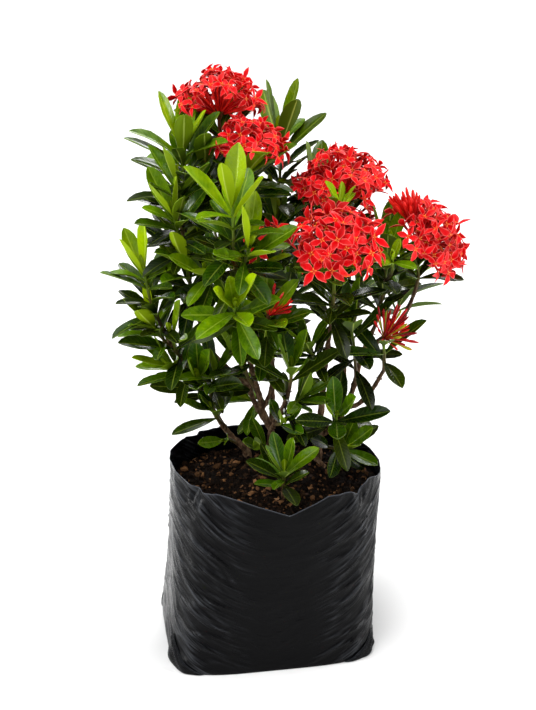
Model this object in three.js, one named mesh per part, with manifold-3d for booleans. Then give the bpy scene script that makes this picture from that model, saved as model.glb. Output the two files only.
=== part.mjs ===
// Ixora in a black polythene grow bag: bag, potting soil, woody stems, leafy shoots, flower heads.
// Millimetres, +Z up, origin on the bag's flat underside near its middle, -Y is the front of the plant.
import * as THREE from 'three';
import { mergeVertices } from 'three/addons/utils/BufferGeometryUtils.js';
import Module from 'manifold-3d';

const wasm = await Module();
wasm.setup();

// ---------------------------------------------------------------- driving dimensions
const CLEARANCE = 0.3;            // between pieces that touch
const FILM = 1.0;                 // bag wall, thicker than the real film

const BAG_SIDES = 24;             // stations around the bag
const BAG_TURN = 9.6;             // degrees the filled bottom is turned about Z
const BAG_FOOT = { width: 194, depth: 167, squareness: 4.6 };
const BAG_MOUTH = { width: 195, depth: 158, squareness: 2.2 };
const BAG_LEVELS = [0, 9, 75, 154];             // heights of the rings below the rim
const BAG_SCALES = [0.985, 1, 0.98, 1];         // rounded foot and slight waist at those rings
const BAG_LEAN = { foot: -7, mouth: 4 };        // the filled bag leans to +X
const RIM = {
  height: 175, wave: 6, highAt: 175, dip: 17, dipAt: -80, dipLeft: 46, dipRight: 24,
  fold: 6, foldAt: -135, foldWidth: 20,
};

const SOIL_TOP = BAG_LEVELS.at(-1);
const SOIL_CROWN = 6;             // the soil heaps up this much in the middle
const SOIL_LUMP = 1.6;            // height of its lumps
const SOIL_RINGS = [0.7, 0.36];
const STEM_FOOT = 116;            // height at which the stems end in the soil

const WOOD_SIDES = 5;
const HOLE_SIDES = 8;
const GREEN_SIDES = 4;             // turned so that each leaf grows out of a flat side
const GREEN_RADIUS = 1.8;         // green stem at its base
const TIP_RADIUS = 1.7;           // and at its tip

const LEAF = { length: 48, width: 0.3, sink: 0.2, clearance: 0.4 };
const LEAF_STATIONS = [           // along the leaf, half width as a part of the full width
  { at: 0.37, half: 0.41, keel: 1.9 },
  { at: 0.70, half: 0.47, keel: 1.5 },
];
const PAIR_SPACING = [4, 11, 21, 33, 47, 63, 81];            // from the shoot's tip down
const PAIR_PITCH = [27, 38, 50, 60, 70, 78, 84];             // degrees off the stem at the leaf's foot
const PAIR_CURL = [-0.3, -0.1, 0.15, 0.35, 0.5, 0.6, 0.6];   // radians that it bends back to its tip
const PAIR_SIZE = [1, 1.1, 1.05, 1, 0.95, 0.9, 0.85];
const ROOT_ROOM = 7;              // bare stretch at the foot of a shoot
const LIGHT = [0, -0.5, 0.87];    // where the light comes from
const FACE_LIGHT = 0.8;           // how far a leaf turns its face to it

const FLORET = { radius: 15.5, notch: 3.8, shoulder: 9.8, shoulderAngle: 25, cup: 2.8, neck: 1.7 };
const FLORET_LAYERS = [0, 3.6, -3.6];   // neighbours stand at different heights, one over the other
const CORE_SHARE = 0.22;          // of the distance from the middle of a head to its florets
const PEDUNCLE = { radius: 1.7, bend: 3, length: 8 };
const BUD = { length: 31, radius: 1.5, widest: 0.72, core: 5 };
const BUD_SIDE = { around: 150, step: 16, off: 0.55, rise: 0.12, share: 0.9 };
const GOLDEN_ANGLE = 137.508;

// Small turns tried one after the other until a leaf or floret is clear of its neighbours:
// degrees around the stem, degrees off the stem, and a factor on its length.
const LEAF_NUDGES = [
  [0, 0, 1], [14, 0, 1], [-14, 0, 1], [0, -12, 1], [0, 10, 0.96], [26, -6, 0.94], [-26, -6, 0.94],
  [38, -10, 0.88], [-38, -10, 0.88], [0, -20, 0.8], [22, 12, 0.76], [-22, 12, 0.76], [48, -14, 0.7],
  [-48, -14, 0.7],
];
const FLORET_NUDGES = [
  [0, 0, 1], [9, 0, 1], [-9, 0, 1], [0, -6, 0.97], [0, 6, 0.97], [14, -6, 0.9], [-14, -6, 0.9],
  [0, -8, 0.82],
];

// ---------------------------------------------------------------- materials
const finish = (color, roughness) => new THREE.MeshStandardMaterial({ color, roughness, metalness: 0 });
const filmMaterial = finish(0x141416, 0.38);
const soilMaterial = finish(0x2a1a12, 0.95);
const barkMaterial = finish(0x5d4a38, 0.85);
const leafMaterial = finish(0x3f7a22, 0.4);
const petalMaterial = finish(0xe8352e, 0.55);
const budMaterial = finish(0xb5202a, 0.5);

// ---------------------------------------------------------------- solids from rings of points
const rad = THREE.MathUtils.degToRad;
const vec = (x, y, z) => new THREE.Vector3(x, y, z);
const at = (list) => vec(...list);
const lerp = THREE.MathUtils.lerp;

// The sum of two vectors, each times its own factor.
const mix = (a, partOfA, b, partOfB) => a.clone().multiplyScalar(partOfA).addScaledVector(b, partOfB);

// An even spread of numbers from 0 to 1, the same for the same two whole numbers.
function draw(a, b) {
  const wave = Math.sin(a * 12.9898 + b * 78.233) * 43758.5453;
  return wave - Math.floor(wave);
}
const jitter = (a, b, size) => (2 * draw(a, b) - 1) * size;

function solidFromGeometry(geometry) {
  geometry.deleteAttribute('normal');
  geometry.deleteAttribute('uv');
  const merged = mergeVertices(geometry, 1e-5);
  return new wasm.Manifold(new wasm.Mesh({
    numProp: 3,
    vertProperties: new Float32Array(merged.getAttribute('position').array),
    triVerts: new Uint32Array(merged.getIndex().array),
  }));
}

function solidFrom(points, triangles) {
  const geometry = new THREE.BufferGeometry();
  const numbers = points.flatMap((point) => point.toArray());
  geometry.setAttribute('position', new THREE.Float32BufferAttribute(numbers, 3));
  geometry.setIndex(triangles.flat());
  return solidFromGeometry(geometry);
}

// Skins a closed body over rings that run counterclockwise about the way from first to last.
// A ring of one point closes an end; any other end gets a flat cap. A wall that falls is split into
// triangles the same way as one that rises, so that nested walls never cross.
function skin(rings) {
  const triangles = [];
  let start = 0;
  for (let i = 0; i + 1 < rings.length; i++) {
    const [low, high] = [rings[i], rings[i + 1]];
    const next = start + low.length;
    const sides = Math.max(low.length, high.length);
    const falls = high[0].z < low[0].z && low.length === high.length;
    for (let j = 0; j < sides; j++) {
      const k = (j + 1) % sides;
      const [a, b] = low.length === 1 ? [start, start] : [start + j, start + k];
      const [d, c] = high.length === 1 ? [next, next] : [next + j, next + k];
      if (a !== b) triangles.push(falls ? [a, b, d] : [a, b, c]);
      if (c !== d) triangles.push(falls ? [b, c, d] : [a, c, d]);
    }
    start = next;
  }
  for (let j = 1; j + 1 < rings[0].length; j++) triangles.push([0, j + 1, j]);
  for (let j = 1; j + 1 < rings.at(-1).length; j++) triangles.push([start, start + j, start + j + 1]);
  return solidFrom(rings.flat(), triangles);
}

// Two directions square to the given one; the first leans to +X, or to +Y where that is too close.
function squareTo(direction) {
  const reference = Math.abs(direction.x) > 0.9 ? vec(0, 1, 0) : vec(1, 0, 0);
  const first = reference.addScaledVector(direction, -reference.dot(direction)).normalize();
  return [first, direction.clone().cross(first)];
}

function ringAround(centre, direction, radius, sides, turn = 0) {
  const [first, second] = squareTo(direction);
  return Array.from({ length: sides }, (_, j) => {
    const angle = (2 * Math.PI * j) / sides + rad(turn);
    return centre.clone()
      .addScaledVector(first, radius * Math.cos(angle))
      .addScaledVector(second, radius * Math.sin(angle));
  });
}

// A round stem along a route of points, tapering from one radius to another.
function stem(route, startRadius, endRadius, sides, turn = 0) {
  const rings = route.map((point, i) => {
    const before = route[Math.max(i - 1, 0)];
    const after = route[Math.min(i + 1, route.length - 1)];
    const direction = after.clone().sub(before).normalize();
    const radius = lerp(startRadius, endRadius, i / (route.length - 1));
    return ringAround(point, direction, radius, sides, turn);
  });
  return skin(rings);
}

// The same stem with room around it and beyond its end.
function roomAround(route, startRadius, endRadius, sides) {
  const [beforeEnd, end] = route.slice(-2);
  const beyond = end.clone().add(end.clone().sub(beforeEnd).setLength(CLEARANCE));
  return stem([...route.slice(0, -1), beyond], startRadius + CLEARANCE, endRadius + CLEARANCE, sides);
}

const largest = (body) => body.decompose().sort((a, b) => b.volume() - a.volume())[0];

const group = new THREE.Group();
group.name = 'ixora';

function addNode(name, body, material) {
  const { vertProperties, triVerts } = body.getMesh();
  const geometry = new THREE.BufferGeometry();
  geometry.setAttribute('position', new THREE.Float32BufferAttribute(vertProperties, 3));
  geometry.setIndex(Array.from(triVerts));
  const mesh = new THREE.Mesh(geometry, material);
  mesh.name = name;
  group.add(mesh);
}

// Every solid that stands above the soil, with the node that it belongs to and, for a leaf, its blade
// without the foot that sinks into the stem.
const standing = [];
const stand = (node, body, blade) => standing.push({ node, body, blade, box: body.boundingBox() });

// Whether a body keeps its gap to all other nodes, and its blade to the blades of its own node.
function isClear(node, body, gap, blade) {
  const box = body.boundingBox();
  const isPast = (low, high) => [0, 1, 2].some((i) => high.min[i] > low.max[i] + gap);
  return standing.every((other) => {
    if (isPast(box, other.box) || isPast(other.box, box)) return true;
    if (other.node !== node) return other.body.minGap(body, gap) >= gap;
    return !blade || !other.blade || other.blade.minGap(blade, gap) >= gap;
  });
}

// ---------------------------------------------------------------- grow bag
// A point of the bag's wall: a rounded rectangle below that turns into an oval at the mouth.
function wallPoint(angle, level, z, inset) {
  const rise = Math.min(z / RIM.height, 1);
  const turn = rad(BAG_TURN);
  const squareness = lerp(BAG_FOOT.squareness, BAG_MOUTH.squareness, rise);
  const halfWidth = lerp(BAG_FOOT.width, BAG_MOUTH.width, rise) / 2;
  const halfDepth = lerp(BAG_FOOT.depth, BAG_MOUTH.depth, rise) / 2;
  const cos = Math.abs(Math.cos(angle - turn)) / halfWidth;
  const sin = Math.abs(Math.sin(angle - turn)) / halfDepth;
  const radius = (cos ** squareness + sin ** squareness) ** (-1 / squareness);
  const reach = radius * BAG_SCALES[Math.min(level, BAG_SCALES.length - 1)] - inset;
  const lean = lerp(BAG_LEAN.foot, BAG_LEAN.mouth, rise);
  return vec(reach * Math.cos(angle) + lean, reach * Math.sin(angle), z);
}

// The stations fall on the middle of each side and on the corners of the filled bottom.
const bagAngles = Array.from({ length: BAG_SIDES }, (_, i) => {
  const step = (2 * Math.PI * i) / BAG_SIDES;
  return rad(BAG_TURN) + Math.atan2(BAG_FOOT.depth * Math.sin(step), BAG_FOOT.width * Math.cos(step));
});
const wallRing = (level, z, inset) => bagAngles.map((angle) => wallPoint(angle, level, z, inset));

// The rim is cut by hand: it is higher on one side, dips to a V in front and folds down once beside it.
function rimHeight(angle) {
  const past = (target) => {
    return THREE.MathUtils.euclideanModulo(THREE.MathUtils.radToDeg(angle) - target + 180, 360) - 180;
  };
  const toDip = past(RIM.dipAt);
  const dip = Math.max(0, 1 - Math.abs(toDip) / (toDip < 0 ? RIM.dipLeft : RIM.dipRight));
  const fold = Math.max(0, 1 - Math.abs(past(RIM.foldAt)) / RIM.foldWidth);
  const wave = RIM.wave * Math.cos(rad(past(RIM.highAt)));
  return RIM.height + wave - RIM.dip * dip - RIM.fold * fold;
}

function rimRing(inset) {
  return bagAngles.map((angle) => wallPoint(angle, BAG_SCALES.length, rimHeight(angle), inset));
}

const bagBody = skin([
  [vec(0, 0, 0)],
  ...BAG_LEVELS.map((z, level) => wallRing(level, z, 0)),
  rimRing(0),
  rimRing(FILM),
  ...BAG_LEVELS.map((z, level) => wallRing(level, Math.max(z, FILM), FILM)).reverse(),
  [vec(0, 0, FILM)],
]);
addNode('grow_bag', bagBody, filmMaterial);
stand('grow_bag', bagBody);

// ---------------------------------------------------------------- woody stems
// Each clump: its branches as radius at the foot, radius at the end and the points between.
// The first branch of a clump stands in the soil.
const CLUMPS = {
  stems_left: [
    {
      radii: [3.2, 2.0],
      route: [
        [-23, 38, 158], [-38, 32, 184], [-46, 25, 199], [-62, 12, 234], [-77, 0, 268],
        [-92, -12, 298],
      ],
    },
  ],
  stems_centre: [
    {
      radii: [3.4, 2.0],
      route: [
        [0, 14, 158], [0, 9, 200], [-8, 5, 222], [-11, 2, 237], [-17, -3, 262],
        [-21, -10, 286], [-27, -22, 314], [-30, -38, 341],
      ],
    },
    {
      radii: [2.4, 1.8],
      route: [[0, 9, 200], [6, -10, 222], [12, -22, 240], [16, -34, 259]],
    },
    {
      radii: [2.6, 1.7],
      route: [
        [0, 9, 200], [-18, 32, 225], [-29, 38, 279], [-36, 40, 346], [-39, 38, 411],
        [-40, 36, 446],
      ],
    },
    {
      radii: [2.2, 1.7],
      route: [
        [-20, 33, 233], [-53, 28, 269], [-64, 22, 298], [-69, 15, 319], [-73, 9, 350],
        [-76, 5, 385],
      ],
    },
    {
      radii: [2.0, 1.7],
      route: [[-24, 35, 252], [-34, 24, 282], [-39, 16, 306], [-44, 8, 336], [-42, 10, 370]],
    },
    {
      radii: [2.0, 1.7],
      route: [[-8, 5, 222], [-1, 4, 240], [2, -5, 262], [0, -15, 281]],
    },
  ],
  stems_right: [
    {
      radii: [4.2, 2.0],
      route: [[44, 34, 158], [45, 24, 188], [47, 8, 236], [48, -8, 268], [51, -30, 313]],
    },
    {
      radii: [3.2, 1.8],
      route: [[45, 24, 188], [60, 26, 198], [74, 20, 231], [83, 10, 276], [93, 5, 304]],
    },
    {
      radii: [2.4, 1.8],
      route: [[68, 23, 217], [80, 18, 222], [91, 8, 239], [101, -8, 266]],
    },
    {
      radii: [2.2, 1.8],
      route: [[83, 10, 276], [103, 10, 293], [119, 5, 314], [127, 2, 336]],
    },
    {
      radii: [2.6, 1.7],
      route: [[60, 26, 198], [67, 26, 238], [68, 28, 272], [70, 30, 320], [71, 30, 350]],
    },
  ],
  stem_back: [
    {
      radii: [3.0, 1.8],
      route: [[-1, 48, 158], [1, 52, 213], [1, 55, 253], [4, 60, 311], [6, 66, 376]],
    },
  ],
  stem_front: [
    {
      radii: [2.2, 1.7],
      route: [[11, -46, 158], [11, -46.4, 164.6]],
    },
  ],
};

// Where the first branch of a clump passes the top of the soil, and the foot that it has below.
const SOIL_SKIN = SOIL_TOP + SOIL_CROWN + 2 * SOIL_LUMP;
function plant(route) {
  const [base, ...rest] = route;
  return [base.clone().setZ(STEM_FOOT), base.clone().setZ(SOIL_SKIN), ...rest];
}

const woodRoom = {};              // each clump with room around it, to trim what grows from it
const soilHoles = [];
for (const [name, branches] of Object.entries(CLUMPS)) {
  const routes = branches.map(({ route }, i) => (i === 0 ? plant(route.map(at)) : route.map(at)));
  const body = wasm.Manifold.union(branches.map(({ radii }, i) => stem(routes[i], ...radii, WOOD_SIDES)));
  const rooms = branches.map(({ radii }, i) => roomAround(routes[i], ...radii, WOOD_SIDES));
  woodRoom[name] = wasm.Manifold.union(rooms);
  const [foot, skinPoint] = routes[0];
  const holeRadius = (branches[0].radii[0] + CLEARANCE) / Math.cos(Math.PI / HOLE_SIDES);
  const hole = [foot.clone().setZ(STEM_FOOT - CLEARANCE), skinPoint];
  soilHoles.push(stem(hole, holeRadius, holeRadius, HOLE_SIDES));
  addNode(name, body, barkMaterial);
  stand(name, body);
}

// ---------------------------------------------------------------- soil
// The soil fills the bag: its side follows the wall, its top is lumpy, and each stem has its hole.
function soilRing(share) {
  return wallRing(BAG_LEVELS.length - 1, SOIL_TOP, FILM + CLEARANCE).map((edge, i) => {
    const lump = jitter(i + 1, Math.round(100 * share), SOIL_LUMP);
    return vec(edge.x * share, edge.y * share, SOIL_TOP + SOIL_CROWN * (1 - share ** 2) + lump);
  });
}

const soilBody = skin([
  [vec(0, 0, FILM + CLEARANCE)],
  ...BAG_LEVELS.map((z, level) => wallRing(level, Math.max(z, FILM + CLEARANCE), FILM + CLEARANCE)),
  ...SOIL_RINGS.map(soilRing),
  [vec(0, 0, SOIL_TOP + SOIL_CROWN)],
]).subtract(wasm.Manifold.union(soilHoles));
addNode('soil', soilBody, soilMaterial);
stand('soil', soilBody);

// ---------------------------------------------------------------- leafy shoots
// Each shoot: the clump that it grows from, its route, and optionally
// turn: degrees of its first leaf pair about the stem (0 is to the right and left),
// skip: youngest pairs left out, where a flower head ends the shoot, long: factor on leaf length,
// tight: factor on the spacing of the pairs,
// most: highest number of pairs, side: a side shoot in the same node.
const SHOOTS = {
  shoot_front: {
    from: 'stem_front', turn: 20, long: 0.85, tight: 0.55,
    route: [[11, -46.4, 164.6], [11, -51, 175], [11, -56, 190]],
  },
  shoot_centre_1: {
    from: 'stems_centre', turn: 65, long: 1.06,
    route: [[-30, -38, 341], [-30, -54, 370], [-31, -64, 393], [-31, -70, 415], [-32, -74, 433]],
    side: { route: [[-30, -52, 366], [-22, -68, 384], [-17, -77, 400]], turn: 20 },
  },
  shoot_centre_2: {
    from: 'stems_centre', turn: 15,
    route: [[-27, -24, 316], [-29, -48, 326], [-30, -66, 338], [-30, -78, 349]],
  },
  shoot_centre_3: {
    from: 'stems_centre', turn: 80, long: 0.95,
    route: [[-44, 8, 336], [-47, -8, 346], [-52, -22, 355], [-55, -34, 366]],
  },
  shoot_centre_4: {
    from: 'stems_centre', turn: 10, skip: 1, long: 0.9,
    route: [[0, -15, 281], [-2, -28, 300], [-4, -42, 316], [-3, -54, 330]],
  },
  shoot_centre_5: {
    from: 'stems_centre', turn: 10,
    route: [[16, -34, 259], [17, -41, 271], [17, -48, 284]],
  },
  shoot_centre_6: {
    from: 'stems_centre', turn: 30, long: 0.8,
    route: [[3, -2, 211], [8, -14, 216], [11, -24, 224]],
  },
  shoot_centre_7: {
    from: 'stems_centre', turn: 0, long: 0.75,
    route: [[0, 12, 178], [-5, 0, 184], [-9, -10, 191]],
  },
  shoot_centre_8: {
    from: 'stems_centre', turn: 50, long: 0.95,
    route: [[-11, 2, 237], [-19, -3, 254], [-27, -8, 270], [-31, -13, 285]],
  },
  shoot_left_1: {
    from: 'stems_centre', turn: 10, long: 1.15,
    route: [[-76, 5, 385], [-76, 4, 405], [-75, 2, 432], [-76, 0, 468]],
  },
  shoot_left_2: {
    from: 'stems_centre', turn: 60, long: 0.92,
    route: [[-75, 7, 372], [-78, -6, 402], [-79, -15, 440]],
  },
  shoot_left_3: {
    from: 'stems_centre', turn: 30, long: 0.92,
    route: [[-73, 9, 352], [-78, -10, 380], [-83, -26, 416]],
  },
  shoot_left_4: {
    from: 'stems_centre', turn: 70,
    route: [[-69, 15, 319], [-71, 0, 338], [-73, -9, 356], [-74, -15, 372]],
  },
  shoot_left_5: {
    from: 'stems_left', turn: 35, long: 0.92,
    route: [[-92, -12, 298], [-104, -20, 332], [-110, -24, 366]],
  },
  shoot_left_6: {
    from: 'stems_left', turn: 10,
    route: [[-77, 0, 268], [-84, -13, 285], [-88, -24, 306]],
  },
  shoot_left_7: {
    from: 'stems_left', turn: 10,
    route: [[-62, 12, 234], [-64, -2, 246], [-66, -14, 260]],
  },
  shoot_left_8: {
    from: 'stems_left', turn: 40, long: 0.9,
    route: [[-46, 25, 199], [-51, 10, 214], [-55, 0, 226]],
  },
  shoot_left_9: {
    from: 'stems_left', turn: 0, long: 0.75, most: 1,
    route: [[-32, 35, 175], [-40, 20, 186], [-44, 9, 190]],
  },
  shoot_left_10: {
    from: 'stems_centre', turn: 10,
    route: [[-38, 38, 400], [-48, 30, 418], [-56, 22, 436], [-61, 16, 455]],
  },
  shoot_right_1: {
    from: 'stems_right', turn: 5,
    route: [[46, 20, 198], [55, 2, 207], [58, -14, 218], [58, -30, 231]],
  },
  shoot_right_2: {
    from: 'stems_right', turn: 40, long: 0.85,
    route: [[44, 30, 176], [57, 14, 180], [66, 0, 185], [70, -10, 192]],
  },
  shoot_right_3: {
    from: 'stems_right', turn: 20,
    route: [[78, 16, 250], [76, 3, 270], [73, -8, 293], [69, -18, 315]],
  },
  shoot_right_4: {
    from: 'stems_right', turn: 0,
    route: [[93, 5, 304], [99, -2, 342], [101, -12, 380]],
  },
  shoot_head_1: {
    from: 'stems_centre', turn: 30, skip: 1,
    route: [[-40, 36, 446], [-43, 33, 460], [-45, 30, 476]],
  },
  shoot_head_2: {
    from: 'stems_centre', turn: 60, skip: 1,
    route: [[-42, 10, 370], [-34, 9, 405], [-22, 5, 443]],
  },
  shoot_head_3: {
    from: 'stems_right', turn: 10, skip: 1,
    route: [[71, 30, 350], [68, 28, 380], [64, 25, 408]],
  },
  shoot_head_4: {
    from: 'stems_right', turn: 25, skip: 1,
    route: [[51, -30, 313], [52, -46, 342], [53, -56, 376]],
  },
  shoot_head_5: {
    from: 'stems_right', turn: 60, skip: 1, long: 0.85,
    route: [[127, 2, 336], [129, -3, 354], [123, -8, 373]],
  },
  shoot_head_6: {
    from: 'stems_centre', turn: 30, skip: 1, long: 0.9,
    route: [[1, -10, 272], [-3, -14, 306], [-9, -18, 340], [-12, -20, 369]],
  },
  shoot_head_7: {
    from: 'stems_right', turn: 0, skip: 1,
    route: [[70, 30, 326], [66, 56, 342], [62, 80, 362]],
  },
  shoot_buds_2: {
    from: 'stems_right', turn: 20, skip: 1,
    route: [[101, -8, 266], [100, -17, 282], [98, -25, 299]],
  },
  shoot_back_1: {
    from: 'stem_back', turn: 15, long: 1.12,
    route: [[6, 66, 376], [8, 69, 415], [7, 72, 464]],
  },
  shoot_back_2: {
    from: 'stem_back', turn: 40,
    route: [[3, 58, 296], [-2, 48, 332], [2, 42, 368], [5, 40, 398]],
  },
  shoot_back_3: {
    from: 'stem_back', turn: 0,
    route: [[5, 62, 332], [22, 66, 358], [36, 65, 390], [40, 62, 419]],
  },
  shoot_back_4: {
    from: 'stem_back', turn: 60, long: 0.85,
    route: [[1, 52, 210], [-12, 44, 213], [-22, 38, 220]],
  },
  shoot_back_5: {
    from: 'stems_centre', turn: 30, most: 4,
    route: [[-36, 40, 346], [-50, 60, 370], [-58, 76, 395]],
  },
  shoot_back_6: {
    from: 'stem_back', turn: 10, most: 4,
    route: [[2, 56, 268], [12, 82, 290], [18, 98, 318]],
  },
  shoot_back_7: {
    from: 'stem_back', turn: 50, most: 4,
    route: [[4, 60, 311], [-8, 84, 340], [-14, 100, 372]],
  },
  shoot_back_8: {
    from: 'stems_right', turn: 70, most: 4,
    route: [[68, 28, 272], [80, 55, 300], [86, 75, 330]],
  },
  shoot_back_9: {
    from: 'stems_right', turn: 20, most: 4,
    route: [[103, 10, 293], [116, 34, 312], [122, 52, 335]],
  },
};

// The place and direction on a route, measured back from its end.
function backFromEnd(route, distance) {
  let left = distance;
  for (let i = route.length - 1; i > 0; i--) {
    const step = route[i].clone().sub(route[i - 1]);
    if (left <= step.length() || i === 1) {
      const direction = step.clone().normalize();
      return { point: route[i].clone().addScaledVector(direction, -left), direction };
    }
    left -= step.length();
  }
}

const routeLength = (route) => route.slice(1)
  .reduce((sum, point, i) => sum + point.distanceTo(route[i]), 0);

// One leaf: a blade that bends along its length, with a keel for the midrib underneath and a foot that
// narrows to a point inside the stem.
function leafBody(root, axis, turn, pitch, length, curl) {
  const [first, second] = squareTo(axis);
  const outward = mix(first, Math.cos(rad(turn)), second, Math.sin(rad(turn)));
  const along = mix(axis, Math.cos(rad(pitch)), outward, Math.sin(rad(pitch)));
  const light = mix(at(LIGHT), 1, along, -along.dot(at(LIGHT)));
  const inward = mix(axis, Math.sin(rad(pitch)), outward, -Math.cos(rad(pitch)));
  const face = mix(inward, 1, light, FACE_LIGHT).normalize();
  const across = face.clone().cross(along);
  const bent = (share) => mix(along, Math.cos(curl * share), face, -Math.sin(curl * share));
  const spot = (share) => mix(root, 1, bent(share / 2), length * share);
  const section = (share, half, keel) => {
    const down = mix(face, -Math.cos(curl * share), along, -Math.sin(curl * share));
    const middle = spot(share);
    return [
      middle.clone().addScaledVector(across, half),
      middle.clone().addScaledVector(across, -half),
      middle.clone().addScaledVector(down, keel),
    ];
  };
  const bladeRings = [
    ...LEAF_STATIONS.map(({ at: share, half, keel }) => section(share, half * LEAF.width * length, keel)),
    [spot(1)],
  ];
  const foot = root.clone().addScaledVector(along, -LEAF.sink);
  return { body: skin([[foot], ...bladeRings]), blade: skin(bladeRings) };
}

// The leaf pairs of one stem: each pair stands square to the one above it.
function leavesOf({ route, turn, skip = 0, long = 1, tight = 1, most = PAIR_SPACING.length }, node, seed) {
  const points = route.map(at);
  const room = routeLength(points) - ROOT_ROOM;
  const leaves = [];
  for (let pair = skip; pair < Math.min(skip + most, PAIR_SPACING.length); pair++) {
    const distance = tight * (PAIR_SPACING[pair] - PAIR_SPACING[skip]) + PAIR_SPACING[0];
    if (distance > room) break;
    const { point, direction } = backFromEnd(points, distance);
    for (const side of [0, 1]) {
      const key = 10 * pair + side;
      const around = turn + 90 * pair + 180 * side + jitter(seed, key, 12);
      const pitch = PAIR_PITCH[pair] + jitter(seed, key + 100, 7);
      const length = LEAF.length * long * PAIR_SIZE[pair] * (1 + jitter(seed, key + 200, 0.08));
      for (const [swing, lift, shrink] of LEAF_NUDGES) {
        const { body, blade } = leafBody(point, direction, around + swing, pitch + lift, length * shrink,
          PAIR_CURL[pair]);
        if (isClear(node, body, LEAF.clearance, blade)) {
          stand(node, body, blade);
          leaves.push(body);
          break;
        }
      }
    }
  }
  return leaves;
}

const shootStems = {};
const FLAT_SIDE = 45;             // turns a flat side of a green stem to its leaves
const greenStem = ({ route, turn }) => stem(route.map(at), GREEN_RADIUS, TIP_RADIUS, GREEN_SIDES,
  turn + FLAT_SIDE);
for (const [name, shoot] of Object.entries(SHOOTS)) {
  const bodies = [greenStem(shoot)];
  if (shoot.side) bodies.push(greenStem(shoot.side));
  shootStems[name] = largest(wasm.Manifold.union(bodies).subtract(woodRoom[shoot.from]));
  stand(name, shootStems[name]);
}

// ---------------------------------------------------------------- flower heads and buds
// Each head: the shoot that it ends, the way that it faces, the distance of its florets from the
// core, how far down the dome they reach in degrees, how many there are and unopened buds.
const HEADS = {
  flower_head_1: {
    on: 'shoot_head_1', axis: [0, -0.1, 1],
    reach: 41, spread: 76, florets: 18,
  },
  flower_head_2: {
    on: 'shoot_head_2', axis: [0.1, -0.25, 1],
    reach: 35, spread: 72, florets: 13,
  },
  flower_head_3: {
    on: 'shoot_head_3', axis: [-0.1, -0.2, 1],
    reach: 43, spread: 80, florets: 18,
  },
  flower_head_4: {
    on: 'shoot_head_4', axis: [0.02, -0.42, 0.95],
    reach: 40, spread: 78, florets: 18,
  },
  flower_head_5: {
    on: 'shoot_head_5', axis: [0.72, -0.25, 0.8],
    reach: 39, spread: 80, florets: 16, buds: 5,
  },
  flower_head_6: {
    on: 'shoot_head_6', axis: [0.2, -0.3, 1],
    reach: 26, spread: 60, florets: 5,
  },
  flower_head_7: {
    on: 'shoot_head_7', axis: [0.05, 0.45, 1],
    reach: 34, spread: 74, florets: 8,
  },
  bud_cluster_1: {
    on: 'shoot_centre_4', axis: [0.4, -0.35, 1],
    reach: 0, spread: 40, florets: 0, buds: 9,
  },
  bud_cluster_2: {
    on: 'shoot_buds_2', axis: [0.7, -0.4, 0.9],
    reach: 0, spread: 56, florets: 0, buds: 14,
  },
};

// A direction on a dome about the axis, given by degrees around it and degrees off it.
function domeDirection(axis, around, off) {
  const [first, second] = squareTo(axis);
  const outward = mix(first, Math.cos(rad(around)), second, Math.sin(rad(around)));
  return mix(axis, Math.cos(rad(off)), outward, Math.sin(rad(off)));
}

// One floret: a slender tube from the middle of the head that opens into four pointed lobes.
function floretBody(core, facing, reach, twist) {
  const [first, second] = squareTo(facing);
  const place = (angle, radius, height) => core.clone()
    .addScaledVector(first, radius * Math.cos(rad(angle)))
    .addScaledVector(second, radius * Math.sin(rad(angle)))
    .addScaledVector(facing, reach + height);
  const points = [place(0, 0, -0.4)];
  for (let lobe = 0; lobe < 4; lobe++) {
    const middle = twist + 90 * lobe;
    points.push(place(middle - 45, FLORET.notch, 0));
    points.push(place(middle - FLORET.shoulderAngle, FLORET.shoulder, 0.3));
    points.push(place(middle, FLORET.radius, 0));
    points.push(place(middle + FLORET.shoulderAngle, FLORET.shoulder, 0.3));
  }
  for (let lobe = 0; lobe < 4; lobe++) points.push(place(twist + 90 * lobe, FLORET.neck, -FLORET.cup));
  points.push(core.clone());
  const triangles = [];
  for (let i = 0; i < 16; i++) {
    const lobe = Math.floor(i / 4);
    const next = (i + 1) % 16;
    triangles.push([0, 1 + i, 1 + next], [17 + lobe, 1 + next, 1 + i]);
    if (i % 4 === 3) triangles.push([17 + lobe, 17 + ((lobe + 1) % 4), 1 + next]);
  }
  for (let lobe = 0; lobe < 4; lobe++) triangles.push([21, 17 + ((lobe + 1) % 4), 17 + lobe]);
  return solidFrom(points, triangles);
}

function budBody(core, facing, length) {
  const widest = core.clone().addScaledVector(facing, length * BUD.widest);
  const tip = core.clone().addScaledVector(facing, length);
  return skin([[core.clone()], ringAround(widest, facing, BUD.radius, 3), [tip]]);
}

// The florets of one head, spread evenly over its dome by the golden angle.
function floretsOf({ reach, spread, florets }, name, core, facing, seed) {
  const bodies = [];
  for (let i = 0; i < florets; i++) {
    const around = i * GOLDEN_ANGLE + 40 * seed;
    const off = spread * Math.sqrt((i + 0.4) / florets) + jitter(seed, i, 4);
    const far = reach + FLORET_LAYERS[i % FLORET_LAYERS.length] + jitter(seed, i + 100, 0.6);
    const twist = 90 * draw(seed, i + 200);
    for (const [swing, lift, shrink] of FLORET_NUDGES) {
      const direction = domeDirection(facing, around + swing, off + lift);
      const floret = floretBody(core, direction, far * shrink, twist);
      if (isClear(name, floret, LEAF.clearance)) {
        bodies.push(floret);
        break;
      }
    }
  }
  return bodies;
}

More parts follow.
